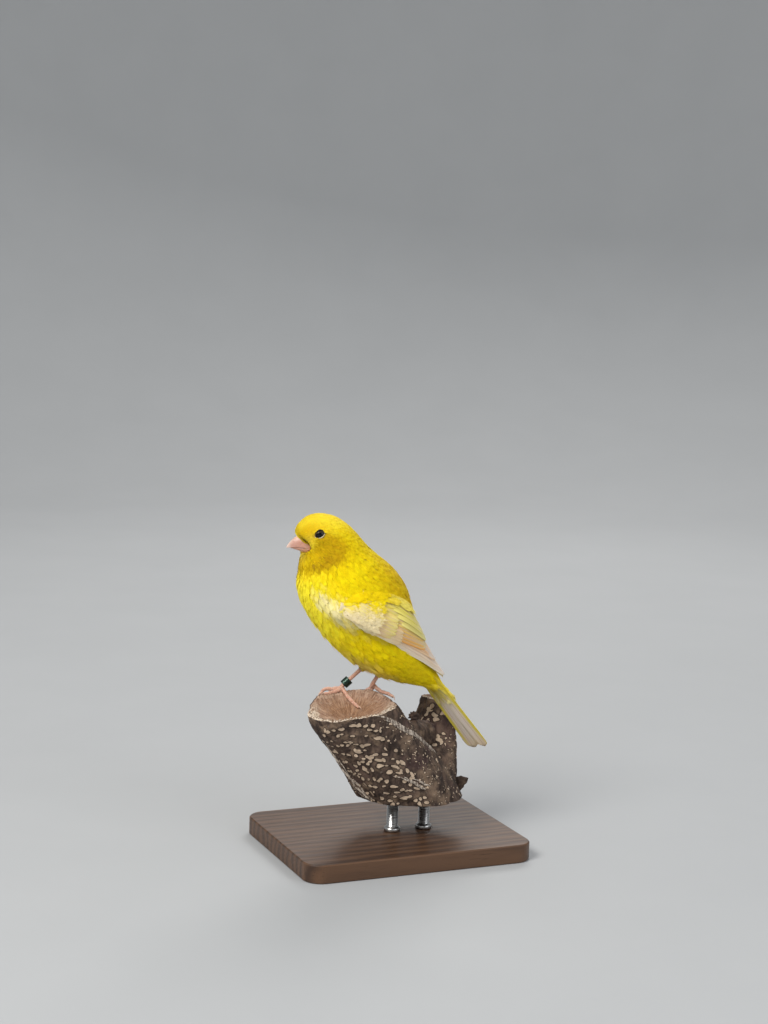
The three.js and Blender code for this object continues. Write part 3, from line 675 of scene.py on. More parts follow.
def material(name, build, constants):
    """A material with one Principled shader. Build gets the tree and returns what feeds the shader."""
    made = bpy.data.materials.new(name)
    made.use_nodes = True
    tree = made.node_tree
    tree.nodes.clear()
    shader = add(tree, "ShaderNodeBsdfPrincipled", constants)
    for key, value in build(tree).items():
        plug(tree, value, shader.inputs[key])
    tree.links.new(shader.outputs[0], add(tree, "ShaderNodeOutputMaterial").inputs[0])
    return made


def finished(tree, colour, gloss, low, high, height, strength, distance):
    """What feeds a shader: a colour, a roughness from low to high by a noise, and a bump from a height."""
    return {
        "Base Color": colour, "Roughness": ramp(tree, gloss, 0.3, 0.7, low, high),
        "Normal": bump(tree, height, strength, distance),
    }


def layered(tree, colour, *layers):
    """A colour under layers of others, each a mask and a tone."""
    for mask, tone in layers:
        colour = mix(tree, mask, colour, tone)
    return colour


# Soft patches of colour on the plumage, one over another: the section and angle of the
# middle, the radii in both, how wide the rim is as a share, the colour and its strength
PATCHES = {
    "crown": ((12.6, 0.2), (2.4, 1.2), 0.5, (0.92, 0.72, 0.03), 0.9),
    "brow": ((13.2, 1.1), (1.9, 0.4), 0.9, (0.74, 0.44, 0.0), 0.65),
    "nape": ((9.6, 0.8), (1.2, 0.9), 0.8, (0.66, 0.46, 0.0), 0.5),
    "cheek": ((10.55, 1.75), (1.75, 0.86), 0.34, (0.50, 0.30, 0.0), 0.9),
    "throat": ((10.9, 2.7), (1.8, 0.9), 0.3, (0.66, 0.44, 0.0), 0.85),
    "chin": ((13.4, 3.0), (1.6, 0.8), 0.8, (0.90, 0.72, 0.10), 0.7),
    "breast": ((7.4, 2.9), (2.0, 0.9), 0.7, (0.94, 0.80, 0.03), 0.9),
    "shoulder": ((7.3, 1.5), (1.0, 0.7), 0.8, (0.86, 0.66, 0.0), 0.7),
    "mantle": ((5.2, 0.6), (2.6, 0.9), 0.6, (0.62, 0.37, 0.0), 0.6),
    "rump": ((1.6, 0.3), (2.0, 0.9), 0.7, (0.74, 0.58, 0.02), 0.6),
    "belly": ((3.6, 2.9), (1.4, 0.55), 0.8, (0.74, 0.62, 0.20), 0.5),
    "flank": ((2.3, 1.75), (1.9, 0.5), 0.7, (0.80, 0.60, 0.0), 0.8),
    "vent": ((-1.2, 2.4), (1.4, 1.4), 0.8, (0.82, 0.74, 0.36), 0.8),
    "white_high": ((7.35, 2.36), (0.75, 0.24), 0.9, (0.86, 0.78, 0.42), 0.8),
    "white_middle": ((6.6, 2.16), (0.8, 0.2), 0.9, (0.84, 0.76, 0.46), 0.8),
    "bend": ((6.0, 1.86), (0.9, 0.17), 0.9, (0.84, 0.70, 0.46), 0.75),
    "lore": ((13.1, 1.7), (1.1, 0.45), 0.9, (0.60, 0.42, 0.05), 0.6),
    "eye_line": ((11.7, 1.45), (0.9, 0.22), 0.8, (0.42, 0.26, 0.0), 0.5),
    # Painted shade: a dark band along the cheek's rear rim, where the head meets the neck.
    "shade_under_cheek": ((9.6, 1.95), (0.5, 0.62), 0.9, (0.40, 0.22, 0.0), 0.6),
}
FLECKS_AT, FLECK_SCALE, FLECK_BROWN = (10.2, 2.1, 0), (11.0, 60.0, 1.0), (0.15, 0.085, 0.01)


def markings_group():
    """The plumage's colours from a place on the body, with a feather's own draw to stray from it.

    Each patch is a smooth step of the distance from its middle, in lengths of its radii.
    """
    def build(tree, given):
        stray = maths(tree, "SUBTRACT", given["Draw"], 0.5)
        second = maths(tree, "SUBTRACT", maths(tree, "FRACT", times(tree, given["Draw"], 17.3)), 0.5)
        shift = add(tree, "ShaderNodeCombineXYZ", {
            0: times(tree, stray, 0.55), 1: times(tree, second, 0.14),
        }).outputs[0]
        spot = vector(tree, "ADD", given["Place"], shift)
        colour = bpy.context.scene.canary_coat.yellow
        for middle, radii, rim, tone, strength in PATCHES.values():
            away = vector(tree, "SUBTRACT", spot, (*middle, 0))
            away = vector(tree, "MULTIPLY", away, (1 / radii[0], 1 / radii[1], 0))
            mask = ramp(tree, vector(tree, "LENGTH", away), 1 + rim / 2, 1 - rim, 0.0, strength)
            colour = mix(tree, mask, colour, tone)
        throat = vector(tree, "LENGTH", vector(tree, "SUBTRACT", given["Place"], FLECKS_AT))
        fleck = noise(tree, stretched(tree, given["Place"], FLECK_SCALE), 1.0, 2.0)
        flecks = times(tree, ramp(tree, throat, 0.75, 0.3), ramp(tree, fleck, 0.54, 0.62, 0.0, 0.55))
        return {"Color": add(tree, "ShaderNodeHueSaturation", {
            "Hue": maths(tree, "MULTIPLY_ADD", stray, 0.01, 0.5), "Saturation": 1.0,
            "Value": maths(tree, "MULTIPLY_ADD", second, 0.12, 1.0),
            "Color": mix(tree, flecks, colour, FLECK_BROWN),
        }).outputs[0]}
    group("canary_markings", {"Place": None, "Draw": 0.5}, {"Color": "NodeSocketColor"}, build)


def barbs_group():
    """A feather's barbs: a height for its relief and a shade for its colour.

    The barbs are waves that slope forward from the middle line, broken up by noise.
    """
    def build(tree, given):
        x, y, _ = split(tree, given["Vane"])
        side = times(tree, maths(tree, "ABSOLUTE", x), given["Across"])
        slope = maths(tree, "SUBTRACT", times(tree, y, given["Along"]), side)
        seed = times(tree, given["Draw"], 31.0)
        twice = add(tree, "ShaderNodeCombineXYZ", {0: x, 1: times(tree, y, 2.0), 2: seed}).outputs[0]
        phase = maths(tree, "ADD", slope, times(tree, noise(tree, twice, 3.0, 2.0), 3.0))
        fine = maths(tree, "MULTIPLY_ADD", maths(tree, "SINE", times(tree, phase, 6.2832)), 0.5, 0.5)
        streak = noise(tree, add(tree, "ShaderNodeCombineXYZ", {
            0: times(tree, x, given["Streaks"]), 1: times(tree, y, 0.7), 2: seed,
        }).outputs[0], 1.0, 2.0, 0.6)
        shade = maths(tree, "ADD", times(tree, fine, 0.4), times(tree, streak, 0.9))
        return {"Height": fine, "Shade": shade}
    group("feather_barbs", {"Vane": None, "Draw": 0.5, "Along": 14.0, "Across": 4.0, "Streaks": 5.0},
          {"Height": "NodeSocketFloat", "Shade": "NodeSocketFloat"}, build)


def marked(tree, draw):
    """The plumage's markings at a piece's own places, with a draw to stray from them."""
    place = attribute(tree, "place", "Vector")
    return placed(tree, "canary_markings", {"Place": place, "Draw": draw})["Color"]


def soft_feathers(tree, colour):
    """Small feathers: a colour shaded by their barbs, with painted shade that darkens the root, where the
    feather above would shade it, and a tip a little paler.
    """
    vane = add(tree, "ShaderNodeUVMap", uv_map="Vane").outputs[0]
    barbs = placed(tree, "feather_barbs", {
        "Vane": vane, "Draw": attribute(tree, "draw"), "Along": 7.0, "Across": 3.0, "Streaks": 6.0,
    })
    # Painted shade: the root is darkened where the feather above would shade it; the tip is a little paler.
    root = ramp(tree, split(tree, vane)[1], 0.1, 0.8, 0.94, 1.03)
    shade = times(tree, maths(tree, "MULTIPLY_ADD", barbs["Shade"], 0.42, 0.74), root)
    return {
        "Base Color": mix(tree, 1.0, colour, shade, "MULTIPLY"),
        "Normal": bump(tree, barbs["Shade"], 0.5, 0.00012),
    }


def plumage(tree):
    """The body's feathers, in the markings' colours."""
    return soft_feathers(tree, marked(tree, attribute(tree, "draw")))


def wing_plumes(tree):
    """The wings' soft feathers, each in its own tint."""
    return soft_feathers(tree, attribute(tree, "tint", "Color"))


def bare_skin(tree):
    """The skin under the coat, in the coat's markings."""
    grain = noise(tree, here(tree), 900.0, 3.0)
    return {
        "Base Color": mix(tree, times(tree, grain, 0.25), marked(tree, grain), (0.60, 0.44, 0.10)),
        "Normal": bump(tree, grain, 0.5, 0.0003),
    }


def flight_vane(tree):
    """Wing and tail feathers: a tint with an edge in another, a darker shaft and the barbs' shade."""
    across = add(tree, "ShaderNodeUVMap", uv_map="Vane").outputs[0]
    aside = maths(tree, "ABSOLUTE", split(tree, across)[0])
    barbs = placed(tree, "feather_barbs", {
        "Vane": across, "Draw": attribute(tree, "draw"), "Along": 60.0, "Across": 6.0, "Streaks": 3.0,
    })
    rim = ramp(tree, maths(tree, "ADD", aside, times(tree, barbs["Shade"], 0.12)), 0.62, 1.0)
    colour = layered(
        tree, attribute(tree, "tint", "Color"), (rim, attribute(tree, "edge", "Color")),
        (times(tree, ramp(tree, aside, 0.09, 0.03), 0.7), (0.72, 0.50, 0.36)))
    shade = maths(tree, "MULTIPLY_ADD", barbs["Shade"], 0.30, 0.80)
    return {
        "Base Color": mix(tree, 1.0, colour, shade, "MULTIPLY"),
        "Normal": bump(tree, barbs["Height"], 0.3, 0.00006),
    }


def bill_horn(tree):
    """Pink horn, paler along the ridge and at the tip, with painted shade in the nostrils, in the slit
    between the halves and at the mouth's corners.
    """
    place = attribute(tree, "place", "Vector")
    share, high, pit_and_painted_shade = split(tree, place)
    cloud = noise(tree, here(tree), 900.0, 3.0)
    streak = noise(tree, stretched(tree, place, (2.0, 16.0, 0.0)), 1.6, 3.0)
    colour = layered(
        tree, mix(tree, cloud, (0.50, 0.25, 0.19), (0.60, 0.34, 0.27)),
        (ramp(tree, high, 0.7, 1.0, 0.0, 0.6), (0.78, 0.58, 0.46)),
        (ramp(tree, share, 0.75, 1.0, 0.0, 0.6), (0.84, 0.70, 0.60)),
        (ramp(tree, share, 0.22, 0.0, 0.0, 0.55), (0.66, 0.34, 0.22)),
        (ramp(tree, streak, 0.5, 0.75, 0.0, 0.25), (0.45, 0.27, 0.19)),
        # Painted shade: the nostrils, the floor between the halves and the gape are darkened towards black.
        (pit_and_painted_shade, (0.08, 0.035, 0.02)))
    relief = maths(tree, "ADD", times(tree, streak, 0.7), times(tree, cloud, 0.3))
    return finished(tree, colour, cloud, 0.26, 0.4, relief, 0.35, 0.00012)


def wet_eye(tree):
    """A black pupil in a nearly black iris, under a wet gloss."""
    place = attribute(tree, "place", "Vector")
    fleck = noise(tree, stretched(tree, place, (4.0, 1.0, 1.0)), 6.0, 3.0)
    iris = mix(tree, fleck, (0.006, 0.003, 0.002), (0.014, 0.007, 0.004))
    pupil = ramp(tree, split(tree, place)[0], 0.5, 0.58)
    return {
        "Base Color": mix(tree, pupil, (0.002, 0.002, 0.002), iris),
        "Roughness": ramp(tree, fleck, 0.0, 1.0, 0.04, 0.1),
    }


def eyelid(tree):
    """Pebbled pale lids, dark where the attribute says so."""
    cell = add(tree, "ShaderNodeTexVoronoi", {"Vector": here(tree), "Scale": 4200.0}).outputs["Distance"]
    pebbles = mix(tree, ramp(tree, cell, 0.2, 0.6), (0.74, 0.66, 0.44), (0.56, 0.46, 0.26))
    return {
        "Base Color": mix(tree, attribute(tree, "low"), (0.12, 0.075, 0.02), pebbles),
        "Normal": bump(tree, cell, 0.6, 0.00012),
    }


def leg_scutes(tree):
    """Pink skin in plates with darker lines between."""
    cloud = noise(tree, here(tree), 700.0, 3.0)
    cell = add(tree, "ShaderNodeTexVoronoi", {
        "Vector": stretched(tree, attribute(tree, "place", "Vector"), (1.1, 5.0, 1.0)), "Scale": 1.4,
    }, feature="DISTANCE_TO_EDGE").outputs["Distance"]
    line = ramp(tree, cell, 0.0, 0.09)
    plate = mix(tree, cloud, (0.66, 0.34, 0.24), (0.80, 0.52, 0.40))
    colour = mix(tree, line, (0.42, 0.19, 0.13), plate)
    colour = mix(tree, ramp(tree, cloud, 0.55, 0.8, 0.0, 0.4), colour, (0.88, 0.70, 0.58))
    relief = maths(tree, "ADD", line, times(tree, cloud, 0.3))
    return finished(tree, colour, cloud, 0.36, 0.52, relief, 0.55, 0.00012)


def claw_horn(tree):
    """Claws that darken from root to tip."""
    share = split(tree, attribute(tree, "place", "Vector"))[0]
    cloud = noise(tree, here(tree), 1400.0, 3.0)
    colour = mix(tree, share, (0.62, 0.40, 0.30), (0.26, 0.15, 0.10))
    colour = mix(tree, times(tree, cloud, 0.4), colour, (0.74, 0.55, 0.44))
    return finished(tree, colour, cloud, 0.25, 0.4, cloud, 0.3, 0.00008)


def ring_anodised(tree):
    """Dark coloured metal with pale streaks round it, partly bare scratches and partly painted glints."""
    cloud = noise(tree, here(tree), 1200.0, 4.0)
    scratch = noise(tree, stretched(tree, attribute(tree, "place", "Vector"), (3.0, 40.0, 1.0)), 3.0, 3.0)
    # Pale streaks: partly bare metal where it is worn, partly painted glints.
    wear_and_glints = times(tree, ramp(tree, scratch, 0.60, 0.72), 0.5)
    colour = mix(tree, cloud, (0.010, 0.022, 0.016), bpy.context.scene.canary_legs.ring)
    colour = mix(tree, wear_and_glints, colour, (0.45, 0.52, 0.48))
    return finished(tree, colour, cloud, 0.22, 0.4, scratch, 0.25, 0.00006)


def bark(tree):
    """Dark brown bark with purple and grey clouds, and cream lenticels in a dark halo."""
    where = here(tree)
    broad = noise(tree, where, 130.0, 4.0, 0.6)
    fine = noise(tree, where, 700.0, 6.0, 0.65)
    grain = noise(tree, stretched(tree, where, (1.0, 1.0, 0.35)), 320.0, 5.0, 0.65)
    uneven = times(tree, maths(tree, "SUBTRACT", fine, 0.5), 0.5)
    ragged = maths(tree, "ADD", attribute(tree, "lenticel"), uneven)
    heart = ramp(tree, ragged, 0.50, 0.60)
    colour = layered(
        tree, mix(tree, ramp(tree, grain, 0.35, 0.7), (0.030, 0.019, 0.015), (0.13, 0.085, 0.062)),
        (ramp(tree, broad, 0.48, 0.66, 0.0, 0.75), (0.24, 0.165, 0.11)),
        (ramp(tree, noise(tree, where, 60.0, 2.0), 0.5, 0.62, 0.0, 0.6), (0.060, 0.032, 0.032)),
        (ramp(tree, fine, 0.60, 0.72, 0.0, 0.5), (0.34, 0.29, 0.25)),
        (times(tree, ramp(tree, ragged, 0.12, 0.36), 0.85), (0.028, 0.018, 0.013)),
        (heart, mix(tree, fine, (0.34, 0.23, 0.15), (0.66, 0.53, 0.40))))
    relief = maths(tree, "ADD", times(tree, fine, 0.4), times(tree, heart, 0.25))
    relief = maths(tree, "ADD", times(tree, grain, 0.6), relief)
    return finished(tree, colour, fine, 0.72, 0.92, relief, 0.85, 0.0006)


def sawn_wood(tree):
    """Fibres that run out from the middle, darker deep in the far side, with a pale rim in front."""
    where = here(tree)
    reach, deep, near = split(tree, attribute(tree, "place", "Vector"))
    fibre = noise(tree, attribute(tree, "grain", "Vector"), 6.0, 6.0, 0.8, 0.7)
    strands = ramp(tree, fibre, 0.36, 0.62)
    coarse = noise(tree, where, 380.0, 4.0, 0.65)
    behind = maths(tree, "SUBTRACT", 1.0, near)
    band = ramp(tree, maths(tree, "ADD", reach, times(tree, coarse, 0.4)), 0.90, 1.04)
    speck = ramp(tree, noise(tree, where, 1100.0, 3.0), 0.42, 0.54)
    hollow = mix(tree, strands, (0.16, 0.07, 0.03), (0.42, 0.23, 0.12))
    colour = layered(
        tree, mix(tree, strands, (0.24, 0.135, 0.09), (0.50, 0.33, 0.24)),
        (ramp(tree, coarse, 0.48, 0.62, 0.0, 0.6), (0.62, 0.45, 0.35)),
        (times(tree, times(tree, deep, behind), 0.7), hollow),
        (times(tree, band, near), mix(tree, speck, (0.24, 0.14, 0.09), (0.80, 0.68, 0.55))),
        (times(tree, ramp(tree, reach, 0.955, 0.99), behind), (0.07, 0.04, 0.03)))
    relief = maths(tree, "ADD", fibre, times(tree, coarse, 0.8))
    return finished(tree, colour, fibre, 0.7, 0.9, relief, 1.0, 0.0006)


def torn_fibre(tree):
    """Pale torn bark, streaked along its fibres."""
    fibre = noise(tree, stretched(tree, here(tree), (1.0, 1.0, 0.25)), 800.0, 6.0, 0.7)
    return {
        "Base Color": mix(tree, ramp(tree, fibre, 0.40, 0.58), (0.09, 0.06, 0.045), (0.62, 0.53, 0.44)),
        "Normal": bump(tree, fibre, 0.9, 0.0005),
    }


def stand_walnut(tree):
    """Dark wood with waves of grain and fine pores, both along its length."""
    where = here(tree)
    wave = add(tree, "ShaderNodeTexWave", {
        "Vector": stretched(tree, where, (1.0, 0.10, 1.0)), "Scale": 60.0, "Distortion": 6.0, "Detail": 5.0,
        "Detail Scale": 1.6,
    }).outputs["Fac"]
    pores = noise(tree, stretched(tree, where, (1.0, 0.04, 1.0)), 1500.0, 4.0)
    colour = mix(tree, wave, (0.050, 0.025, 0.014), bpy.context.scene.canary_stand.wood)
    colour = mix(tree, ramp(tree, pores, 0.60, 0.72, 0.0, 0.7), colour, (0.02, 0.01, 0.006))
    return finished(tree, colour, pores, 0.34, 0.52, pores, 0.25, 0.0002)


def stand_steel(tree):
    """Steel brushed round the rods."""
    brushed = noise(tree, stretched(tree, here(tree), (1.0, 1.0, 40.0)), 60.0, 4.0)
    colour = mix(tree, brushed, (0.42, 0.42, 0.42), (0.62, 0.62, 0.61))
    return finished(tree, colour, brushed, 0.24, 0.42, brushed, 0.15, 0.0001)


def backdrop(tree):
    """Pale paper, faintly clouded."""
    cloud = noise(tree, here(tree), 12.0)
    return {"Base Color": mix(tree, cloud, (0.40, 0.41, 0.42), (0.43, 0.44, 0.45))}


FEATHER = {
    "Roughness": 0.75, "Sheen Weight": 0.08, "Sheen Tint": (1.0, 0.85, 0.4), "Specular IOR Level": 0.12,
}
# Each finish: its material's name, what feeds its shader, the record's slot and the shader's constants
FINISHES = {
    "plumage": (plumage, "body_feathers", FEATHER),
    "wing_plumes": (wing_plumes, "body_feathers", FEATHER),
    "skin": (bare_skin, "body_feathers", {"Roughness": 0.8}),
    "flight_vane": (flight_vane, "flight_feathers", {
        "Roughness": 0.55, "Sheen Weight": 0.06, "Specular IOR Level": 0.22}),
    "bill_horn": (bill_horn, "bill", {
        "Specular IOR Level": 0.55, "Subsurface Weight": 0.15, "Subsurface Radius": (0.002, 0.001, 0.0006),
        "Subsurface Scale": 0.5}),
    "eye": (wet_eye, "eye", {"Specular IOR Level": 0.3}),
    "eyelid": (eyelid, "body_feathers", {"Roughness": 0.55}),
    "leg_scutes": (leg_scutes, "leg_skin", {
        "Specular IOR Level": 0.45, "Subsurface Weight": 0.1, "Subsurface Radius": (0.002, 0.0008, 0.0005),
        "Subsurface Scale": 0.4}),
    "claw_horn": (claw_horn, "leg_skin", {"Specular IOR Level": 0.5}),
    "ring_anodised": (ring_anodised, "ring", {"Metallic": 0.75}),
    "bark": (bark, "branch", {"Specular IOR Level": 0.3}),
    "sawn_wood": (sawn_wood, "branch", {"Specular IOR Level": 0.25}),
    "torn_fibre": (torn_fibre, "branch", {"Roughness": 0.85}),
    "stand_walnut": (stand_walnut, "stand_wood", {"Specular IOR Level": 0.4}),
    "stand_steel": (stand_steel, "stand_metal", {"Metallic": 1.0}),
    "backdrop": (backdrop, None, {"Roughness": 0.9}),
}


# The materials by their names in FINISHES, once they are made
MATERIALS = {}


def make_materials():
    """The two shared node groups, and a material for each finish."""
    markings_group()
    barbs_group()
    for name, (build, _, constants) in FINISHES.items():
        MATERIALS[name] = material(name, build, constants)


# Skin and coat


def skin_piece(surface, depth):
    """One closed skin under the coat: the plumage's surface moved inwards by a depth, more under the lids."""
    sections = np.linspace(FIRST_SECTION, LAST_SECTION, 150)
    angles = circle(128)
    rows, columns = np.meshgrid(sections, angles, indexing="ij")
    points, normals = surface.sample(rows, columns)[:2]
    sunk = depth * np.ones(rows.shape)
    for side in (1, -1):
        sunk = sunk + 0.7 * smooth((1.35 - eye_reach(points, side)) / 0.4)
    points = points - normals * sunk[..., None]
    mesh_points, faces = closed_tube(points)
    folded = np.minimum(columns, 2 * np.pi - columns)
    place = stacked(rows, folded, 0 * rows).reshape(-1, 3)
    place = np.concatenate([place, [[FIRST_SECTION, 0, 0], [LAST_SECTION, 0, 0]]])
    return piece("skin", mesh_points, faces, "skin", {"place": place})


def clear_of_eyes(surface, row, column, length, way):
    """Which feathers may stay, and their lengths, so that none lies over an eye.

    A feather that reaches the lids at one of three shares of its length is shortened, up to
    seven times.
    """
    length = length.copy()
    for _ in range(7):
        crossing = np.zeros(len(row), bool)
        for share in (0.35, 0.7, 1.05):
            stretch = surface.sample(row, column)[2]
            points = surface.sample(row + way * share * length / stretch, column)[0]
            for side in (1, -1):
                crossing |= eye_reach(points, side) < 1.16
        length[crossing] *= 0.72
    points = surface.sample(row, column)[0]
    near = np.minimum(eye_reach(points, 1), eye_reach(points, -1))
    return (near > 1.2) & (length > 0.28), length


# The coat's pieces, each from one section to another
COAT_PARTS = (("coat_face", 12.6, 99), ("coat_head", 10.4, 12.6), ("coat_neck", 7.6, 10.4),
              ("coat_breast", 4.6, 7.6), ("coat_rump", -9, 4.6))


def coat_pieces(surface, cover, length_share, spacing):
    """The body's feathers, in pieces by section, from the face to the tail."""
    random = np.random.default_rng(11)
    row, column = planted(surface, LAST_SECTION - 0.1, FIRST_SECTION + 0.6, plume_length, spacing, random)
    column = column % (2 * np.pi)
    length = plume_length(row) * length_share * random.uniform(0.85, 1.25, len(row))
    kept, length = clear_of_eyes(surface, row, column, length, -1)
    i = np.clip(np.round((row - surface.first) / surface.step).astype(int), 0, cover.shape[0] - 1)
    j = np.round(column / surface.pace).astype(int) % cover.shape[1]
    kept &= cover[i, j] < 0.5
    row, column, length = row[kept], column[kept], length[kept]
    width = length * np.interp(row, [0, 7, 11, 15], [0.32, 0.30, 0.36, 0.40])
    folded = np.minimum(column, 2 * np.pi - column)
    under = smooth((folded - 1.5) / 0.8)
    stray = np.interp(row, [0, 4, 9, 15], [1.6, 1.2, 0.5, 0.1]) * under
    rise = np.clip(0.03 * length + 0.04, 0.07, 0.28)
    bake = stacked(column / (2 * np.pi), (row - FIRST_SECTION) / (LAST_SECTION - FIRST_SECTION))
    pieces = []
    for name, low, high in COAT_PARTS:
        some = (row >= low) & (row < high)
        made = plumes(surface, row[some], column[some], length[some], width[some], -1, random,
                      rise=rise[some], stray=stray[some])
        pieces.append(plume_piece(
            name, made, stacked(row[some], folded[some]), bake[some], "plumage", random))
    return pieces


# Wings


WING_S, WING_T = np.linspace(0, WING_CHORD, 141), np.linspace(0, 1, 41)
# How high the wing's soft plumes lie over its chart: millimetres from the wrist, and the heights
SOFT_LAYERS = {
    "lesser": ([0, 4, 10, 16, 20], [0.8, 1.7, 2.4, 2.9, 2.9]),
    "scapulars": ([0, 4, 10, 34, 44], [0.8, 1.9, 3.0, 3.0, 2.2]),
}


def wing_surface():
    """The left wing's chart on a fine grid."""
    return Surface(WING_S, WING_T, wing_chart(*np.meshgrid(WING_S, WING_T, indexing="ij")), False)


def raised_surface(surface, part):
    """The wing's chart raised to the layer that its soft plumes lie on, less near its lower edge."""
    lift = np.interp(WING_S, *SOFT_LAYERS[part])[:, None] * (smooth(WING_T / 0.12) * 0.7 + 0.3)
    points = surface.grid[..., :3] + surface.grid[..., 3:6] * lift[..., None]
    return Surface(WING_S, WING_T, points, False)


def between(pair, share):
    """A number, place or colour at a share of the way from the first of a pair to the second."""
    return np.asarray(pair[0], float) * (1 - share) + np.asarray(pair[1], float) * share


def vane_outline(share, tip):
    """Half width along a flight feather as a share of its greatest: narrow at the root, round or pointed."""
    grow = 0.35 + 0.65 * smooth(share / 0.35)
    end = np.clip((1 - share) / tip, 0, 1)
    return grow * (1 - (1 - end) ** 2.2) ** 0.62


def vane(middle, across, out, half, camber=0.10, thickness=0.13, columns=11):
    """A closed flight feather: rings of a cambered section with a ridge for the shaft along its middle.

    The section falls by a parabola from the shaft to the edges, and thins to nothing there.
    """
    x = np.sin(np.linspace(-np.pi / 2, np.pi / 2, columns))
    ring = np.concatenate([x, x[-2:0:-1]])
    face = np.concatenate([np.ones(columns), -np.ones(columns - 2)])
    half = np.maximum(half, 0.02)[:, None]
    body_half = thickness / 2 * np.sqrt(np.maximum(1 - ring ** 2, 0))
    shaft = 0.13 * np.exp(-(ring * half / 0.22) ** 2) * np.clip(half / 1.2, 0.2, 1)
    high = -camber * half * ring ** 2 + face * (body_half + shaft * (face > 0))
    rings = middle[:, None] + across[:, None] * (ring * half)[..., None] + out[:, None] * high[..., None]
    points, faces = closed_tube(rings)
    share = np.linspace(0, 1, len(middle))
    local = stacked(ring[None], share[:, None]).reshape(-1, 2)
    return points, faces, np.concatenate([local, [[0, 0], [0, 1]]])


def wing_vane(surface, side, root, tip, lift, width, point, random, steps=26):
    """A feather of a folded wing on its chart, from root to tip, each s and a height over the lower edge."""
    share = np.linspace(0, 1, steps)
    s = root[0] + (tip[0] - root[0]) * share
    up = root[1] + (tip[1] - root[1]) * share
    height = np.linalg.norm(wing_chart(s, 1) - wing_chart(s, 0), axis=-1)
    t = np.clip(up / height, 0.03, 0.97)
    points, normals = surface.sample(s, t)[:2]
    rise = lift * (0.3 + 0.7 * smooth(share / 0.4)) * (1 - 0.2 * share)
    middle = points + normals * (rise + 0.2 * random.normal() * share ** 3)[:, None]
    ahead = unit(np.gradient(middle, axis=0))
    across = unit(np.cross(normals, ahead))
    half = width / 2 * vane_outline(share, point)
    mirror = np.array([side, 1, 1])
    return vane(middle * mirror, across * mirror, normals * mirror, half)


# The folded wing's rows from the lowest layer to the highest: how many, root and tip of the
# first and last feather, lift, width, how long the tip's point is, and the middle's and
# edge's colours of the first and last
WING_ROWS = {
    "primaries": (
        9, (22, 2.2), (18, 8), (69, 1.9), (50, 7.2), (0.45, 1.2), (4.0, 5.2), 0.16,
        ((0.92, 0.76, 0.58), (0.88, 0.56, 0.30)),
        ((0.94, 0.82, 0.62), (0.88, 0.42, 0.12)), (0.84, 0.72, 0.62)),
    "secondaries": (
        8, (16, 4), (14, 14), (48, 6.2), (42, 12.6), (1.3, 1.9), (5.0, 5.6), 0.12,
        ((0.86, 0.52, 0.22), (0.82, 0.70, 0.20)),
        ((0.88, 0.42, 0.10), (0.86, 0.74, 0.20)), (0.84, 0.68, 0.36)),
    "primary_coverts": (
        5, (12, 2.0), (13, 5.5), (32, 2.2), (30, 6.0), (1.4, 1.9), (3.0, 3.4), 0.3,
        ((0.90, 0.76, 0.50), (0.88, 0.58, 0.26)),
        ((0.90, 0.80, 0.52), (0.88, 0.50, 0.18)), (0.88, 0.66, 0.36)),
    "tertials": (
        4, (20, 11), (14, 17), (47, 9.6), (38, 14.6), (2.0, 2.6), (6.0, 6.2), 0.16,
        ((0.82, 0.70, 0.20), (0.82, 0.69, 0.10)),
        ((0.86, 0.75, 0.24), (0.88, 0.76, 0.14)), (0.82, 0.74, 0.34)),
    "greater_coverts": (
        11, (10, 2.8), (9, 14), (27, 3.2), (24, 15.4), (1.9, 2.5), (3.5, 4.0), 0.34,
        ((0.90, 0.66, 0.38), (0.84, 0.66, 0.03)),
        ((0.90, 0.60, 0.28), (0.86, 0.70, 0.05)), (0.86, 0.73, 0.22)),
    "alula": (
        3, (5, 1.6), (6, 3.4), (19, 1.6), (18, 3.6), (2.1, 2.4), (2.4, 2.6), 0.3,
        ((0.86, 0.76, 0.46), (0.86, 0.74, 0.40)),
        ((0.88, 0.80, 0.48), (0.88, 0.78, 0.44)), (0.88, 0.78, 0.50)),
    "median_coverts": (
        12, (5, 3.4), (4, 14.5), (18, 4.0), (17, 15.6), (2.5, 3.0), (2.9, 3.2), 0.4,
        ((0.86, 0.74, 0.38), (0.86, 0.66, 0.01)),
        ((0.88, 0.76, 0.40), (0.86, 0.69, 0.02)), (0.86, 0.73, 0.20)),
}


def quill_piece(name, parts, local, tints, edges, draws, patches):
    """One piece of many flight feathers, with each point's colours, random draw and maps."""
    points, faces = joined(parts)
    maps = {"OFBake": np.concatenate(patches), "Vane": np.concatenate(local)}
    values = {"tint": np.concatenate(tints), "edge": np.concatenate(edges), "draw": np.concatenate(draws)}
    return piece(name, points, faces, "flight_vane", values, maps)


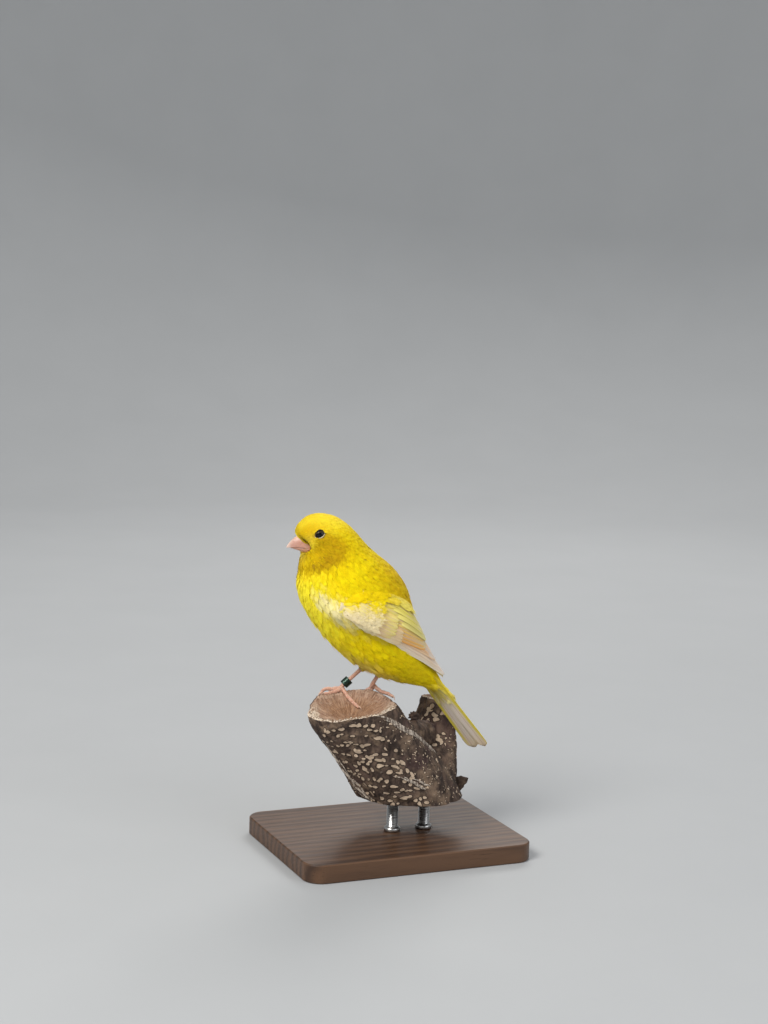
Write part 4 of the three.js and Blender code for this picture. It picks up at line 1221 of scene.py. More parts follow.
def wing_pieces(side, name):
    """One folded wing: an inner sheet, rows of flight feathers and coverts, and soft plumes in front."""
    surface = wing_surface()
    random = np.random.default_rng(21)
    parts, local, tints, edges, draws, patches = [], [], [], [], [], []
    for count, *ends, lifts, widths, point, tint, edge, tip_tint in WING_ROWS.values():
        for share in np.arange(count) / (count - 1):
            root, tip = between(ends[:2], share), between(ends[2:], share)
            points, faces, flat = wing_vane(
                surface, side, root, tip, between(lifts, share), between(widths, share), point, random)
            parts.append((points, faces))
            local.append(flat)
            fade = smooth((flat[:, 1:] - 0.55) / 0.45)
            tints.append(between((between(tint, share), tip_tint), fade) * random.uniform(0.93, 1.05))
            edges.append(np.tile(between(edge, share) * random.uniform(0.94, 1.05), (len(points), 1)))
            draws.append(np.full(len(points), random.random()))
            line, column = divmod(len(parts), 20)
            patches.append(flat * [0.01, 0.06] + [0.02 + 0.045 * column, 0.05 + 0.3 * line])
    quills = quill_piece(name, parts, local, tints, edges, draws, patches)

    s, t = np.meshgrid(np.linspace(0.5, WING_CHORD - 3, 80), np.linspace(0.05, 0.95, 20), indexing="ij")
    over = 0.9 * smooth((24 - s) / 14) + 0.1
    depth = 3.6 * smooth((44 - s) / 20) + 0.15
    chart, normals = surface.sample(s, t)[:2]
    front, back = chart + normals * over[..., None], chart - normals * depth[..., None]
    points, faces = closed_tube(np.concatenate([front, back[:, ::-1]], 1) * [side, 1, 1])
    count = len(points)
    values = {"tint": np.tile([0.70, 0.58, 0.36], (count, 1)), "draw": np.full(count, 0.5),
              "edge": np.tile([0.76, 0.62, 0.34], (count, 1))}
    sheet = piece(name + "_inner", points, faces, "flight_vane", values, {"Vane": np.full((count, 2), 0.5)})

    soft = []
    for part, first, last, span, length, tones in (
            ("lesser", 2.0, 16.0, (0.02, 0.98), 3.6, ((0.88, 0.74, 0.44), (0.86, 0.66, 0.0))),
            ("scapulars", 3.0, 30.0, (0.72, 1.0), 6.4, ((0.84, 0.70, 0.12), (0.80, 0.58, 0.0)))):
        rows, columns = planted(surface, first, last, lambda row: length * 0.8, 0.28, random, span)
        columns = np.clip(columns, *span)
        lengths = length * random.uniform(0.8, 1.2, len(rows))
        points, faces, flat, size = plumes(
            raised_surface(surface, part), rows, columns, lengths, lengths * 0.36, 1, random, 0.18)
        made = points * [side, 1, 1], faces[:, ::side], flat, size
        front = columns * 2.4 - 0.6 if part == "lesser" else (27 - rows) / 14
        change = smooth(front + random.uniform(-0.2, 0.2, len(rows)))[:, None]
        tint = np.clip(between(tones, change) * random.uniform(0.94, 1.06, (len(rows), 1)), 0, 1)
        bake = stacked(0.1 + 0.8 * columns, 0.05 + 0.9 * (rows + 2) / 74)
        place = stacked(rows, columns)
        soft.append(plume_piece(name + "_" + part, made, place, bake, "wing_plumes", random, tint))
    return [quills, sheet, *soft]


# Tail


def tail_pieces():
    """Six pairs of tail feathers in one rolled fan, the middle pair on top.

    Each runs straight from the tail's root to a point across its end, in a layer of its own.
    """
    random = np.random.default_rng(31)
    top = np.array([0.0, math.sin(TAIL_SLOPE), math.cos(TAIL_SLOPE)])
    top = spun(top, np.zeros(3), TAIL_DOWN, -TAIL_ROLL)
    left = -np.cross(TAIL_DOWN, top)
    parts, local, tints, edges, draws, patches = [], [], [], [], [], []
    for index in range(TAIL_PAIRS):
        for side in (1, -1):
            share = index / (TAIL_PAIRS - 1)
            length = TAIL_LENGTH - 2.2 * (1 - share) ** 2 - 0.8 * share ** 3 + random.uniform(-0.4, 0.2)
            layer = -0.34 * (index + (0 if side > 0 else 0.5))
            root = TAIL_ROOT + left * side * (0.6 + share) + top * layer
            reach = side * (QUILL_WIDTH * 0.28 * (1 - share) + (TAIL_WIDTH - QUILL_WIDTH) / 2 * share)
            tip = TAIL_ROOT + left * reach + top * layer + TAIL_DOWN * length
            place = np.linspace(0, 1, 34)
            middle = root + (tip - root) * place[:, None]
            across = np.tile(unit(np.cross(top, unit(tip - root))), (len(place), 1))
            uneven = 1 + 0.02 * np.sin(60 * place + 9 * random.random())
            half = QUILL_WIDTH / 2 * vane_outline(place, 0.06) * uneven
            points, faces, flat = vane(middle, across, np.tile(top, (len(place), 1)), half, camber=0.05)
            parts.append((points, faces))
            local.append(flat)
            down = flat[:, 1:] + 0.05 * np.sin(9 * flat[:, :1] + 5 * index)
            root_tone, pale, end = np.array([[0.92, 0.76, 0.06], [0.95, 0.84, 0.74], [0.92, 0.74, 0.52]])
            pale = pale + ([0.94, 0.78, 0.10] - pale) * smooth((flat[:, :1] * side * share - 0.15) / 0.5)
            tone = root_tone + (pale - root_tone) * smooth((down - 0.25) / 0.35)
            tone = tone + (end - tone) * smooth((down - 0.82) / 0.18)
            tints.append(tone * random.uniform(0.94, 1.03))
            edges.append(tone * [1.0, 1.0, 0.92])
            draws.append(np.full(len(points), random.random()))
            patches.append(flat * [0.03, 0.8] + [0.05 + 0.075 * len(parts), 0.1])
    return [quill_piece("tail_quills", parts, local, tints, edges, draws, patches)]


# Bill


def bill_half(upper):
    """Half of the bill: rings of a half ellipse over the mouth's line, tapering by a power of the share.

    The upper half has a low ridge along its top and a nostril pressed into each side.
    """
    height, reach, way, lip = (CULMEN, 1.0, 1, MOUTH * 0.3) if upper else (CHIN, LOWER_REACH, -1, MOUTH * 0.6)
    steps, sides = 48, 40
    share = np.linspace(0, 1, steps) ** 0.9 * 0.985 * reach
    angle = np.linspace(0, np.pi, sides)
    taper = np.maximum(1 - (share / reach) ** 1.35, 0.0) ** (0.85 if upper else 0.8)
    taper = np.maximum(taper, 0.02)[:, None]
    mouth = BILL_BASE + (BILL_TIP - BILL_BASE) * share[:, None]
    mouth[:, 2] -= GAPE_DROP * (1 - share) ** 2 + (0.5 * share ** 3 if upper else 0)
    height = height * (np.maximum(1 - share ** 2.2, 0)[:, None] ** 0.8 / taper if upper else 1)
    ridge = 1 + 0.05 * np.exp(-((angle - np.pi / 2) / 0.22) ** 2) * (1 - share[:, None])
    x = np.cos(angle) * BILL_HALF_WIDTH * taper
    rise = np.sin(angle) ** 0.9 * height * taper * ridge / 1.05 + lip
    rings = stacked(x, np.broadcast_to(mouth[:, 1:2], x.shape), mouth[:, 2:3] + way * rise)
    floor = rings[:, ::-1][:, 1:-1].copy()
    floor[..., 2] = mouth[:, 2:3] + way * lip
    pit_and_painted_shade = np.zeros(x.shape)
    if upper:
        for side in (1, -1):
            away = (rings - NOSTRIL_AT * [side, 1, 1]) / NOSTRIL_SIZE
            near = smooth(1.5 - np.linalg.norm(away, axis=-1))
            pit_and_painted_shade = np.maximum(pit_and_painted_shade, near)
        rings[..., 0] -= np.sign(rings[..., 0]) * 0.45 * pit_and_painted_shade
    points, faces = closed_tube(np.concatenate([rings, floor], 1))
    down = share[:, None] / reach
    # The third value is painted shade: the nostrils' pits, and the whole floor between the halves at 0.55.
    place = stacked(down, np.sin(angle)[None], pit_and_painted_shade)
    under = stacked(down, 0 * floor[..., 0], 0.55)
    place = np.concatenate([place, under], 1).reshape(-1, 3)
    place = np.concatenate([place, [[0, 0.3, 0], [1, 0.3, 0]]])
    return turned(points), faces, place


def bill_pieces():
    """The bill's two halves, and the fleshy gape at its corners as a tapered tube on each side."""
    pieces = []
    for upper, name in ((True, "bill_horn_upper"), (False, "bill_horn_lower")):
        points, faces, place = bill_half(upper)
        pieces.append(piece(name, points, faces, "bill_horn", {"place": place}))
    parts, places = [], []
    for side in (1, -1):
        share = np.linspace(0, 1, 14)
        path = stacked(side * (3.75 - 0.75 * share ** 1.5), -36.6 - 2.6 * share, 35.7 + 0.6 * share)
        radii = 0.42 * np.sin(np.pi * np.clip(share * 0.9 + 0.08, 0, 1)) + 0.05
        points, faces = closed_tube(tube_rings(turned(path), radii, 12))
        parts.append((points, faces))
        # The gape's third value, 0.35, is painted shade at the mouth's corners.
        places.append(np.tile([0.0, 0.2, 0.35], (len(points), 1)))
    points, faces = joined(parts)
    pieces.append(piece("gape", points, faces, "bill_horn", {"place": np.concatenate(places)}))
    return pieces


# Eyes


def eye_pieces(side, name):
    """One glossy eye, a ball of rings round its outward line, and the almond ring of its lids."""
    _, lengthwise, upward, out = eye_frame(side)
    centre = turned(EYE_MIDDLE * [side, 1, 1])
    rows, sides = 28, 48
    polar = np.linspace(0.04, np.pi - 0.04, rows)[:, None, None]
    angle = circle(sides)[None, :, None]
    round_it = lengthwise * np.cos(angle) + upward * np.sin(angle)
    rings = centre + EYE_RADIUS * (out * np.cos(polar) + round_it * np.sin(polar))
    points, faces = closed_tube(rings)
    reach = np.repeat(polar.ravel() / (np.pi / 2), sides)
    place = stacked(reach, np.tile(angle.ravel(), rows), 0 * reach)
    place = np.concatenate([place, [[0, 0, 0], [2, 0, 0]]])
    ball = piece(name + "_ball", points, faces, "eye", {"place": place})

    turns = circle(72)
    half_length, half_height = EYE_OPENING
    almond = np.sign(np.cos(turns)) * np.abs(np.cos(turns)) ** 0.85
    high = half_height * np.sin(turns) * (1 - 0.12 * almond ** 2)
    rim = lengthwise * (half_length * almond)[:, None] + upward * high[:, None]
    flat = np.linalg.norm(rim, axis=-1, keepdims=True)
    depth = np.sqrt(np.maximum((EYE_RADIUS + 0.12) ** 2 - flat ** 2, 0))
    path = centre + rim + out * depth
    radial = unit(rim)
    ring = circle(12)
    thick = 0.12 + 0.015 * np.sin(turns * 9) + 0.08 * np.maximum(-np.sin(turns - 0.3), 0)
    aside, rise = thick[:, None] * np.cos(ring), 0.75 * thick[:, None] * np.sin(ring)
    rings = path[:, None] + radial[:, None] * aside[..., None] + out * rise[..., None]
    faces = (grid_faces(73, 12, True) % (72 * 12))[:, ::-side]
    low = np.repeat(smooth(0.55 - 0.8 * np.sin(turns) - 0.3 * np.cos(turns)), 12)
    return [ball, piece(name + "_lids", rings, faces, "eyelid", {"low": low})]


# Legs and feet


def squared(value):
    """A cosine or sine whose curve is squarer: its size to the power SQUARE, with its sign kept."""
    return np.sign(value) * np.abs(value) ** SQUARE


def arm_cut(x, y):
    """How far the sawn face lies above its middle's level, at a place from that middle.

    It slopes evenly, and its far rim rises towards one end and falls towards the other.
    """
    top = ARM[-1]
    ahead = (x * LONG[0] + y * LONG[1]) / top[3]
    across = (x * WIDE[0] + y * WIDE[1]) / top[4]
    far = np.clip((1 - across) / 2, 0, 1)
    rim = FACE_RISE * smooth(ahead * 1.2) - FACE_FALL * smooth(-ahead * 1.3 - 0.35)
    return FACE_FORWARD * y - FACE_LEFT * x + far * rim


def on_face(x, y, height):
    """A point over the sawn face, or beyond its rim down the branch's side, at a height from the wood.

    The reach is 1 on the rim, which is a squared oval. Beyond it a point is pulled in to the
    rim and lowered by 1.1 times what it was pulled in.
    """
    top = ARM[-1]
    x, y = np.asarray(x, float) - top[0], np.asarray(y, float) - top[1]
    lengthwise = np.abs(x * LONG[0] + y * LONG[1]) / (top[3] + 0.6)
    crosswise = np.abs(x * WIDE[0] + y * WIDE[1]) / (top[4] + 0.6)
    reach = (lengthwise ** (2 / SQUARE) + crosswise ** (2 / SQUARE)) ** (SQUARE / 2)
    keep = np.where(reach > 1, (1 + height / top[4]) / np.maximum(reach, 1e-6), 1)
    beyond = np.where(reach > 1, np.hypot(x, y) * (1 - 1 / np.maximum(reach, 1e-6)), 0)
    hollow = FACE_HOLLOW * np.maximum(0, 1 - reach ** 2) ** 1.5
    x, y = x * keep, y * keep
    return stacked(top[0] + x, top[1] + y, top[2] + arm_cut(x, y) - hollow + height - beyond * 1.1)


def limb(path, radii, sides, pad=0.0, scute=0.0, pitch=1.4):
    """A tube with scutes over its front and pads beneath, and each point's length and side."""
    lengths = np.concatenate([[0], np.cumsum(np.linalg.norm(np.diff(path, axis=0), axis=1))])
    angle = circle(sides)
    saw = (lengths / pitch) % 1
    step = scute * (1 - saw)[:, None] * smooth(np.sin(angle) + 0.3)[None]
    swell = pad * (0.5 + 0.5 * np.sin(lengths / 2.6 * 2 * np.pi))[:, None] * smooth(-np.sin(angle))[None]
    rings = tube_rings(path, radii[:, None] + step + swell, sides)
    points, faces = closed_tube(rings)
    place = stacked(lengths[:, None], np.cos(angle)[None], 0.0).reshape(-1, 3)
    return points, faces, np.concatenate([place, [[0, 0, 0], [lengths[-1], 0, 0]]])


def leg_pieces(side):
    """A leg with its foot: the scaled shank, four toes that follow the wood, and their hooked claws."""
    top, ankle = np.array(LEGS[side]["top"]), np.array(LEGS[side]["ankle"])
    joint = on_face(ankle[0], ankle[1], TOE_RADIUS + 0.8)
    share = np.linspace(0, 1, 60)
    shank = along(np.array([top, top + (ankle - top) * 0.5, ankle, joint]), share)
    width = along([[1.25], [0.95], [1.05], [1.2]], share)[:, 0] * TARSUS_RADIUS
    limbs = [limb(shank, width, 20, scute=0.10, pitch=1.7)]
    claws = []
    for way, length in TOES[side]:
        ahead = np.array([math.sin(math.radians(way)), -math.cos(math.radians(way))])
        places = np.array([0.0, 0.3, 0.58, 0.82, 1.0])
        height = np.array([0.6, 0.15, 0.12, 0.1, 0.0]) + TOE_RADIUS
        bends = on_face(joint[0] + ahead[0] * length * places, joint[1] + ahead[1] * length * places, height)
        bends[0] = joint
        path = along(bends, np.linspace(0, 0.78, 46))
        radii = along([[1.12], [0.98], [0.95], [0.72], [0.5]], np.linspace(0, 0.86, 46))[:, 0] * TOE_RADIUS
        limbs.append(limb(path, radii, 16, pad=0.16, scute=0.07, pitch=1.05))
        claw_path = along(bends, np.linspace(0.72, 1.0, 22))
        hook = smooth(np.linspace(0, 1, 22)) * 0.5
        claw_path[:, 2] += 0.7 * np.sin(np.linspace(0, np.pi, 22)) - hook
        claw_radii = 0.56 * TOE_RADIUS * (1 - np.linspace(0, 0.93, 22) ** 1.3)
        points, faces = closed_tube(tube_rings(claw_path, claw_radii, 12))
        share = np.concatenate([np.repeat(np.linspace(0, 1, 22), 12), [0, 1]])
        claws.append((points, faces, stacked(share, 0 * share, 0 * share)))
    pieces = []
    for name, finish, parts in (("scutes_", "leg_scutes", limbs), ("claws_", "claw_horn", claws)):
        points, faces = joined([part[:2] for part in parts])
        place = np.concatenate([part[2] for part in parts])
        pieces.append(piece(name + side, points, faces, finish, {"place": place}))
    return pieces


# The section and angle whose markings the thighs have
THIGH_SPOT = (3.4, 2.9)


def thigh_surface(side):
    """The feathered thigh: a cone of rings along the upper leg."""
    top, ankle, plume = (np.array(LEGS[side][key]) for key in ("top", "ankle", "plume"))
    rows = np.linspace(-0.25, 1, 40)
    path = top + (ankle - top) * (rows * plume)[:, None]
    radii = np.interp(rows, [-0.25, 0, 0.5, 1], [4.2, 3.5, 2.5, 1.15])
    rings = tube_rings(path, radii, 40)
    columns = circle(40)
    surface = Surface(rows, columns, rings, True)
    if ((rings - rings.mean(1, keepdims=True)) * surface.grid[..., 3:6]).sum() < 0:
        surface = Surface(rows, columns, rings[:, ::-1], True)
    return surface


def thigh_pieces(side):
    """The thigh's skin and its short plumes, which point down the leg."""
    surface = thigh_surface(side)
    random = np.random.default_rng(41)
    points, faces = closed_tube(surface.grid[..., :3] - surface.grid[..., 3:6] * 0.3)
    place = np.tile([*THIGH_SPOT, 0], (len(points), 1))
    cone = piece("thigh_skin_" + side, points, faces, "skin", {"place": place})
    row, column = planted(surface, -0.2, 0.86, lambda value: 2.2, 0.30, random)
    lengths = random.uniform(1.6, 2.8, len(row))
    made = plumes(surface, row, column, lengths, lengths * 0.5, 1, random, 0.3, 0.5)
    bake = stacked(column % (2 * np.pi) / (2 * np.pi), 0.1 + 0.6 * (row + 0.25))
    place = np.tile(THIGH_SPOT, (len(row), 1))
    return [cone, plume_piece("thigh_plumes_" + side, made, place, bake, "plumage", random)]


def ring_piece():
    """The leg ring: a squared oval section turned about the shank's line."""
    top, ankle = np.array(LEGS["right"]["top"]), np.array(LEGS["right"]["ankle"])
    axis = unit(top - ankle)
    foot = ankle + axis * RING_LIFT
    across = unit(np.cross(axis, [0.0, 0.0, 1.0]))
    other = np.cross(axis, across)
    middle = (RING_BORE + RING_OUTER) / 2, RING_HEIGHT / 2
    corner = circle(40)
    wall = np.sign(np.cos(corner)) * np.abs(np.cos(corner)) ** 0.25 * (RING_OUTER - RING_BORE) / 2 + middle[0]
    high = np.sign(np.sin(corner)) * np.abs(np.sin(corner)) ** 0.25 * RING_HEIGHT / 2 + middle[1]
    angle = circle(96)
    way = across * np.cos(angle)[:, None] + other * np.sin(angle)[:, None]
    rings = foot + way[:, None] * wall[None, :, None] + axis * high[None, :, None]
    faces = grid_faces(97, 40, True) % (96 * 40)
    place = stacked(high[None], angle[:, None] / 6.2832, 0.0).reshape(-1, 3)
    points = rings.reshape(-1, 3)
    return piece("ring_band", points, outward(points, faces), "ring_anodised", {"place": place})


# Branch


# The bark's long waves: height, how many round the branch, and their lean along it
BARK_WAVES = ((0.5, 3, 0.09), (0.35, 7, -0.16), (0.2, 13, 0.3))


def ripples(x, y, random, waves, scale):
    """Sum of waves in many directions, as an uneven height of about one in size."""
    total = np.zeros(np.broadcast(x, y).shape)
    for _ in range(waves):
        way, length = random.uniform(0, 2 * np.pi), scale * random.uniform(0.5, 1.6)
        phase = random.uniform(0, 6.28)
        total += np.sin((x * np.cos(way) + y * np.sin(way)) / length * 6.28 + phase)
    return total / math.sqrt(waves)


def bark_grid(rows, steps, sides, seed, cut, spots):
    """A length of branch: bark rings up to the rim of its cut face, and how much lenticel each point is.

    The rings are squared ovals whose radii wander by waves round and along the branch. A
    lenticel is an oval that fades from its middle, and the bark swells over it.
    """
    random = np.random.default_rng(seed)
    share = np.linspace(0, 1, steps)
    angle = circle(sides)
    row = along(rows, share)
    girth = (row[:, 3:4] + row[:, 4:5]) / 2
    arc = girth * angle[None]
    height = row[:, 2:3] + 0 * arc
    spot = np.zeros(arc.shape)
    bend_x = 0.13 * ripples(arc, height, random, 10, 2.4)
    bend_y = 0.13 * ripples(arc, height, random, 10, 2.4)
    turns = random.uniform(0, 2 * np.pi, spots)
    tall_way = height.max() - height.min()
    levels = height.min() + (tall_way - 2.5 - 7 * smooth((0.95 - turns) / 0.3)) * random.random(spots)
    for turn, level in zip(turns, levels):
        near = int((level - height.min()) / tall_way * (steps - 1))
        if spot[near, int(turn / (2 * np.pi) * sides)] > 0:
            continue
        size = random.uniform(0.55, 1.0) * (1.1 if 0.75 < turn < 2.0 else 0.5)
        tall = size * random.uniform(0.45, 0.65)
        lean = random.normal(-0.6, 0.5)
        gap = ((angle[None] - turn + np.pi) % (2 * np.pi) - np.pi) * girth + bend_x
        rise = height - level + bend_y
        first = (gap * math.cos(lean) - rise * math.sin(lean)) / size
        second = (gap * math.sin(lean) + rise * math.cos(lean)) / tall
        spot = np.maximum(spot, np.clip(1.25 - 0.6 * np.hypot(first, second), 0, 1))
    east, north = np.cos(angle)[None] * girth, np.sin(angle)[None] * girth
    rough = ripples(east + 0 * height, north + height, random, 16, 4.0)
    fine = ripples(east * 1.3, north + height * 1.4, random, 16, 1.4)
    grow = 0
    for high, count, lean in BARK_WAVES:
        grow = grow + high * np.sin(count * angle[None] + lean * row[:, 2:3] + count * seed)
    grow = grow + 0.16 * rough + 0.07 * fine
    grow = grow + 0.22 * smooth((spot - 0.3) / 0.25) - 0.16 * smooth((spot - 0.62) / 0.2)
    long_way = (row[:, 3:4] + grow) * squared(np.cos(angle))
    wide_way = (row[:, 4:5] + grow) * squared(np.sin(angle))
    x, y = (long_way * LONG[axis] + wide_way * WIDE[axis] for axis in (0, 1))
    blend = smooth((share - 0.4) / 0.6)[:, None]
    rings = stacked(row[:, 0:1] + x, row[:, 1:2] + y, row[:, 2:3] + cut(x, y) * blend)
    return rings, spot


def face_rings(rings, row, cut, hollow, count, random, splinter):
    """Rings of a cut face from the bark's rim to its middle, hollow or crowned, with torn fibres."""
    rim = rings[-1]
    from_middle = rim[:, :2] - row[:2]
    reach = np.linspace(1, 0, count + 1)[:, None]
    x, y = from_middle[:, 0] * reach, from_middle[:, 1] * reach
    turn = np.arange(len(rim)) / len(rim) * 2 * np.pi
    torn = ripples(15 * np.cos(turn) + 0 * reach, 15 * np.sin(turn) + 3 * reach, random, 16, 1.5)
    torn = torn * 0.12 * smooth(reach * 2) + ripples(x, y, random, 14, 1.1) * 0.10
    edge = smooth((1 - reach) / 0.06)
    ragged = splinter * np.abs(ripples(x * 4, y * 4, random, 10, 2.2)) * smooth((reach - 0.74) / 0.14)
    z = row[2] + cut(x, y) - hollow * np.maximum(1 - reach ** 2, 0) ** 1.5 + (torn + ragged) * edge
    z[0] = rim[:, 2]
    return stacked(row[0] + x, row[1] + y, z), reach


def stub_cut(x, y):
    """How far the stub's evenly sloping face lies above its middle's level."""
    return STUB_CUT[0] * x + STUB_CUT[1] * y


def perch_pieces(resolution):
    """The forked branch: the bark of arm and stub, their cut faces, and what fills the fork."""
    pieces, barks = [], []
    random = np.random.default_rng(51)
    for name, rows, grid, seed, cut, hollow, spots, splinter in (
            ("perch_arm", ARM, (130, 340), 1, arm_cut, FACE_HOLLOW, 1100, 0.62),
            ("perch_stub", STUB, (90, 180), 2, stub_cut, -STUB_CROWN, 400, 0.2)):
        steps, sides = (int(count * resolution) for count in grid)
        rings, spot = bark_grid(rows, steps, sides, seed, cut, spots)
        barks.append(rings)
        quads = grid_faces(steps, sides, True)
        side = np.arange(sides)
        bottom = stacked((side + 1) % sides, side, steps * sides)
        points = np.concatenate([rings.reshape(-1, 3), [rings[0].mean(0)]])
        faces = np.concatenate([quads[:, [0, 1, 2]], quads[:, [0, 2, 3]], bottom])
        pieces.append(piece(name + "_bark", points, faces, "bark", {"lenticel": np.append(spot.ravel(), 0)}))
        last = along(rows, 1.0)
        rings, reach = face_rings(rings, last, cut, hollow, int(70 * resolution), random, splinter)
        fall = last[2] + cut(rings[..., 0] - last[0], rings[..., 1] - last[1]) - rings[..., 2]
        deep = smooth((fall + 0.5) / 5) if hollow > 0 else 0 * rings[..., 2]
        near = smooth(0.5 + ((rings - last[:3]) @ WIDE) / rows[-1, 4] * 1.4)
        turn = circle(sides)
        grain = stacked(4 * np.cos(turn), 4 * np.sin(turn), 0.8 * reach)
        place = stacked(reach, deep, near)
        values = {"place": place.reshape(-1, 3), "grain": grain.reshape(-1, 3)}
        pieces.append(piece(name + "_face", rings, grid_faces(len(rings), sides, True), "sawn_wood", values))
    return pieces + fork_pieces(random, barks[0])


# Torn strips of bark, by the arm's height as a share and the angle round it: how many strands,
# how far they spread in radians, and the strip's middle
STRIPS = (
    (24, 0.04, [[1.0, 2.08], [0.9, 2.34], [0.77, 2.57], [0.69, 2.74], [0.59, 3.0], [0.45, 3.32]]),
    (12, 0.09, [[0.66, 0.36], [0.46, 0.42], [0.3, 0.52], [0.14, 0.64], [0.03, 0.8]]),
    (7, 0.05, [[0.36, 1.62], [0.3, 1.86], [0.24, 2.0], [0.2, 2.04]]),
)
SADDLE = np.array([
    [9.0, -2.0, -44.0], [5.0, 5.0, -45.2], [0.5, 12.5, -46.6], [-4.5, 19.0, -48.2], [-9.0, 24.0, -50.0],
])
KNOT = np.array([1.6, 12.0, -38.3])
# The flake at the fork's foot is a dark sheet facing the camera, painted shadow between arm and stub.
SHADOW_FLAKE_TOP, SHADOW_FLAKE_FOOT = np.array([4.9, 34.2, -66.0]), np.array([3.4, 31.4, -75.4])


def fork_pieces(random, rings):
    """What fills the fork: a saddle of bark, torn pale strips, a dark knot, and at its foot a dark flake that
    faces the camera as painted shadow between arm and stub.

    The saddle and the strips are tubes along curves, the strips' on the arm's own rings. The
    knot is an uneven ball and the flake a flat tube.
    """
    share = np.linspace(0, 1, 90)
    angle = circle(84)
    around = 6 * np.cos(angle)[None] + 4 * np.sin(angle)[None]
    wave = ripples(20 * share[:, None] + 0 * angle, around, random, 14, 4.0)
    radii = np.interp(share, [0, 0.3, 0.55, 0.8, 1], [7.0, 6.6, 6.0, 6.0, 5.4])[:, None] + 0.35 * wave
    points, faces = closed_tube(tube_rings(along(SADDLE, share), radii, 84))
    x, y, z = points.T
    spot = np.clip(0.9 - 1.6 * np.abs(ripples(x * 2, y + z, random, 12, 2.2)), 0, 0.62)
    spot *= smooth(ripples(y, z * 2, random, 8, 5.0) - 0.4)
    made = [piece("perch_saddle", points, faces, "bark", {"lenticel": spot})]

    parts = []
    for strands, spread, middle in STRIPS:
        for _ in range(strands):
            start = random.uniform(0, 0.7)
            place = along(middle, np.linspace(start, min(start + random.uniform(0.2, 0.6), 1.0), 7))
            turn = place[:, 1] + random.normal(0, spread) + random.normal(0, spread / 3, 7)
            row = np.clip(np.round(place[:, 0] * (len(rings) - 1)).astype(int), 0, len(rings) - 1)
            side = np.round(turn / (2 * np.pi) * rings.shape[1]).astype(int) % rings.shape[1]
            path = along(rings[row, side], np.linspace(0, 1, 60))
            thick = random.uniform(0.18, 0.46) * np.sin(np.pi * np.linspace(0.03, 0.97, 60)) ** 0.5
            knobs = ripples(np.linspace(0, 40, 60)[:, None], np.arange(8)[None] * 2.0, random, 8, 2.0)
            uneven = 1 + 0.3 * knobs
            parts.append(closed_tube(tube_rings(path, thick[:, None] * uneven, 8)))
    points, faces = joined(parts)
    made.append(piece("perch_strips", points, faces, "torn_fibre"))

    polar, turn = np.linspace(0.05, np.pi - 0.05, 22)[:, None], circle(30)[None]
    lump = 1 + 0.26 * ripples(4 * polar + 0 * turn, 3 * np.cos(turn) + 0 * polar, random, 9, 2.2)
    way = stacked(np.sin(polar) * np.cos(turn), np.sin(polar) * np.sin(turn), np.cos(polar) + 0 * turn)
    knot = closed_tube(KNOT + way * lump[..., None] * [1.9, 2.2, 1.7])
    # The flake: a flat dark sheet turned to face the camera, which paints the shadow between arm and stub.
    down = np.linspace(0, 1, 60)[:, None]
    turn = circle(32)[None]
    wide = 0.3 + 3.6 * smooth(down / 0.1) * (1 - down ** 2.4)
    wide = wide + 0.25 * ripples(down * 20, np.cos(turn), random, 8, 4.0)
    thick = 0.55 * np.sin(turn) * (1 + 0.2 * np.sin(9 * down))
    shadow_flake = SHADOW_FLAKE_TOP + (SHADOW_FLAKE_FOOT - SHADOW_FLAKE_TOP) * down[..., None]
    shadow_flake = shadow_flake + CAMERA_RIGHT * [1, 1, 0] * (wide * np.cos(turn))[..., None] + WIDE * thick[..., None]
    points, faces = joined([knot, closed_tube(shadow_flake)])
    # Lenticel 0.25 gives both the bark's dark halo colour: the knot's own dark, and on the flake painted
    # shadow.
    made.append(piece("perch_knot_and_shadow_flake", points, faces, "bark", {"lenticel": np.full(len(points), 0.25)}))
    return made


# Stand and stage


def rod_pieces():
    """The stand's two rods, each with a turned collar where it meets the base."""
    x, middle, top = ARM[0][:3] - [0, 0, ROD_GAP]
    floor = BASE_THICKNESS - BIRD_AT[2] + ROD_GAP
    heights = np.array([0, 0.15, 1.1, 1.5, 1.9, 2.1, top - floor - 0.25, top - floor])
    radii = np.array([3.4, 3.6, 3.6, 3.4, 2.9, ROD_RADIUS, ROD_RADIUS, ROD_RADIUS - 0.25])
    angle = circle(72)
    ring = stacked(np.cos(angle), np.sin(angle), 0 * angle)
    rings = ring[None] * radii[:, None, None] + stacked(0 * heights, 0 * heights, heights)[:, None]
    points, faces = closed_tube(rings)
    pieces = []
    for index in (0, 1):
        foot = [x, middle + (index - 0.5) * ROD_SPREAD, floor]
        pieces.append(piece(f"rod_{index}", points + foot, faces, "stand_steel"))
    return pieces


CAMERA_AT = np.array([0.729031, -0.326586, 0.253554])
CAMERA_RIGHT = np.array([0.39768407, 0.91694599, 0.03251812])
CAMERA_UP = np.array([-0.13422534, 0.02308115, 0.990682])
CAMERA_AHEAD = np.array([-0.90765133, 0.3983432, -0.13225639])
CAMERA_LENS = 66.375


def stood(name, data, right, up, ahead, place):
    """An object of a camera or a light at a place, which looks ahead."""
    thing = bpy.data.objects.new(name, data)
    turn = np.eye(4)
    turn[:3, 0], turn[:3, 1], turn[:3, 2], turn[:3, 3] = right, up, -ahead, place
    thing.matrix_world = Matrix(turn.tolist())
    bpy.context.scene.collection.objects.link(thing)
    return thing


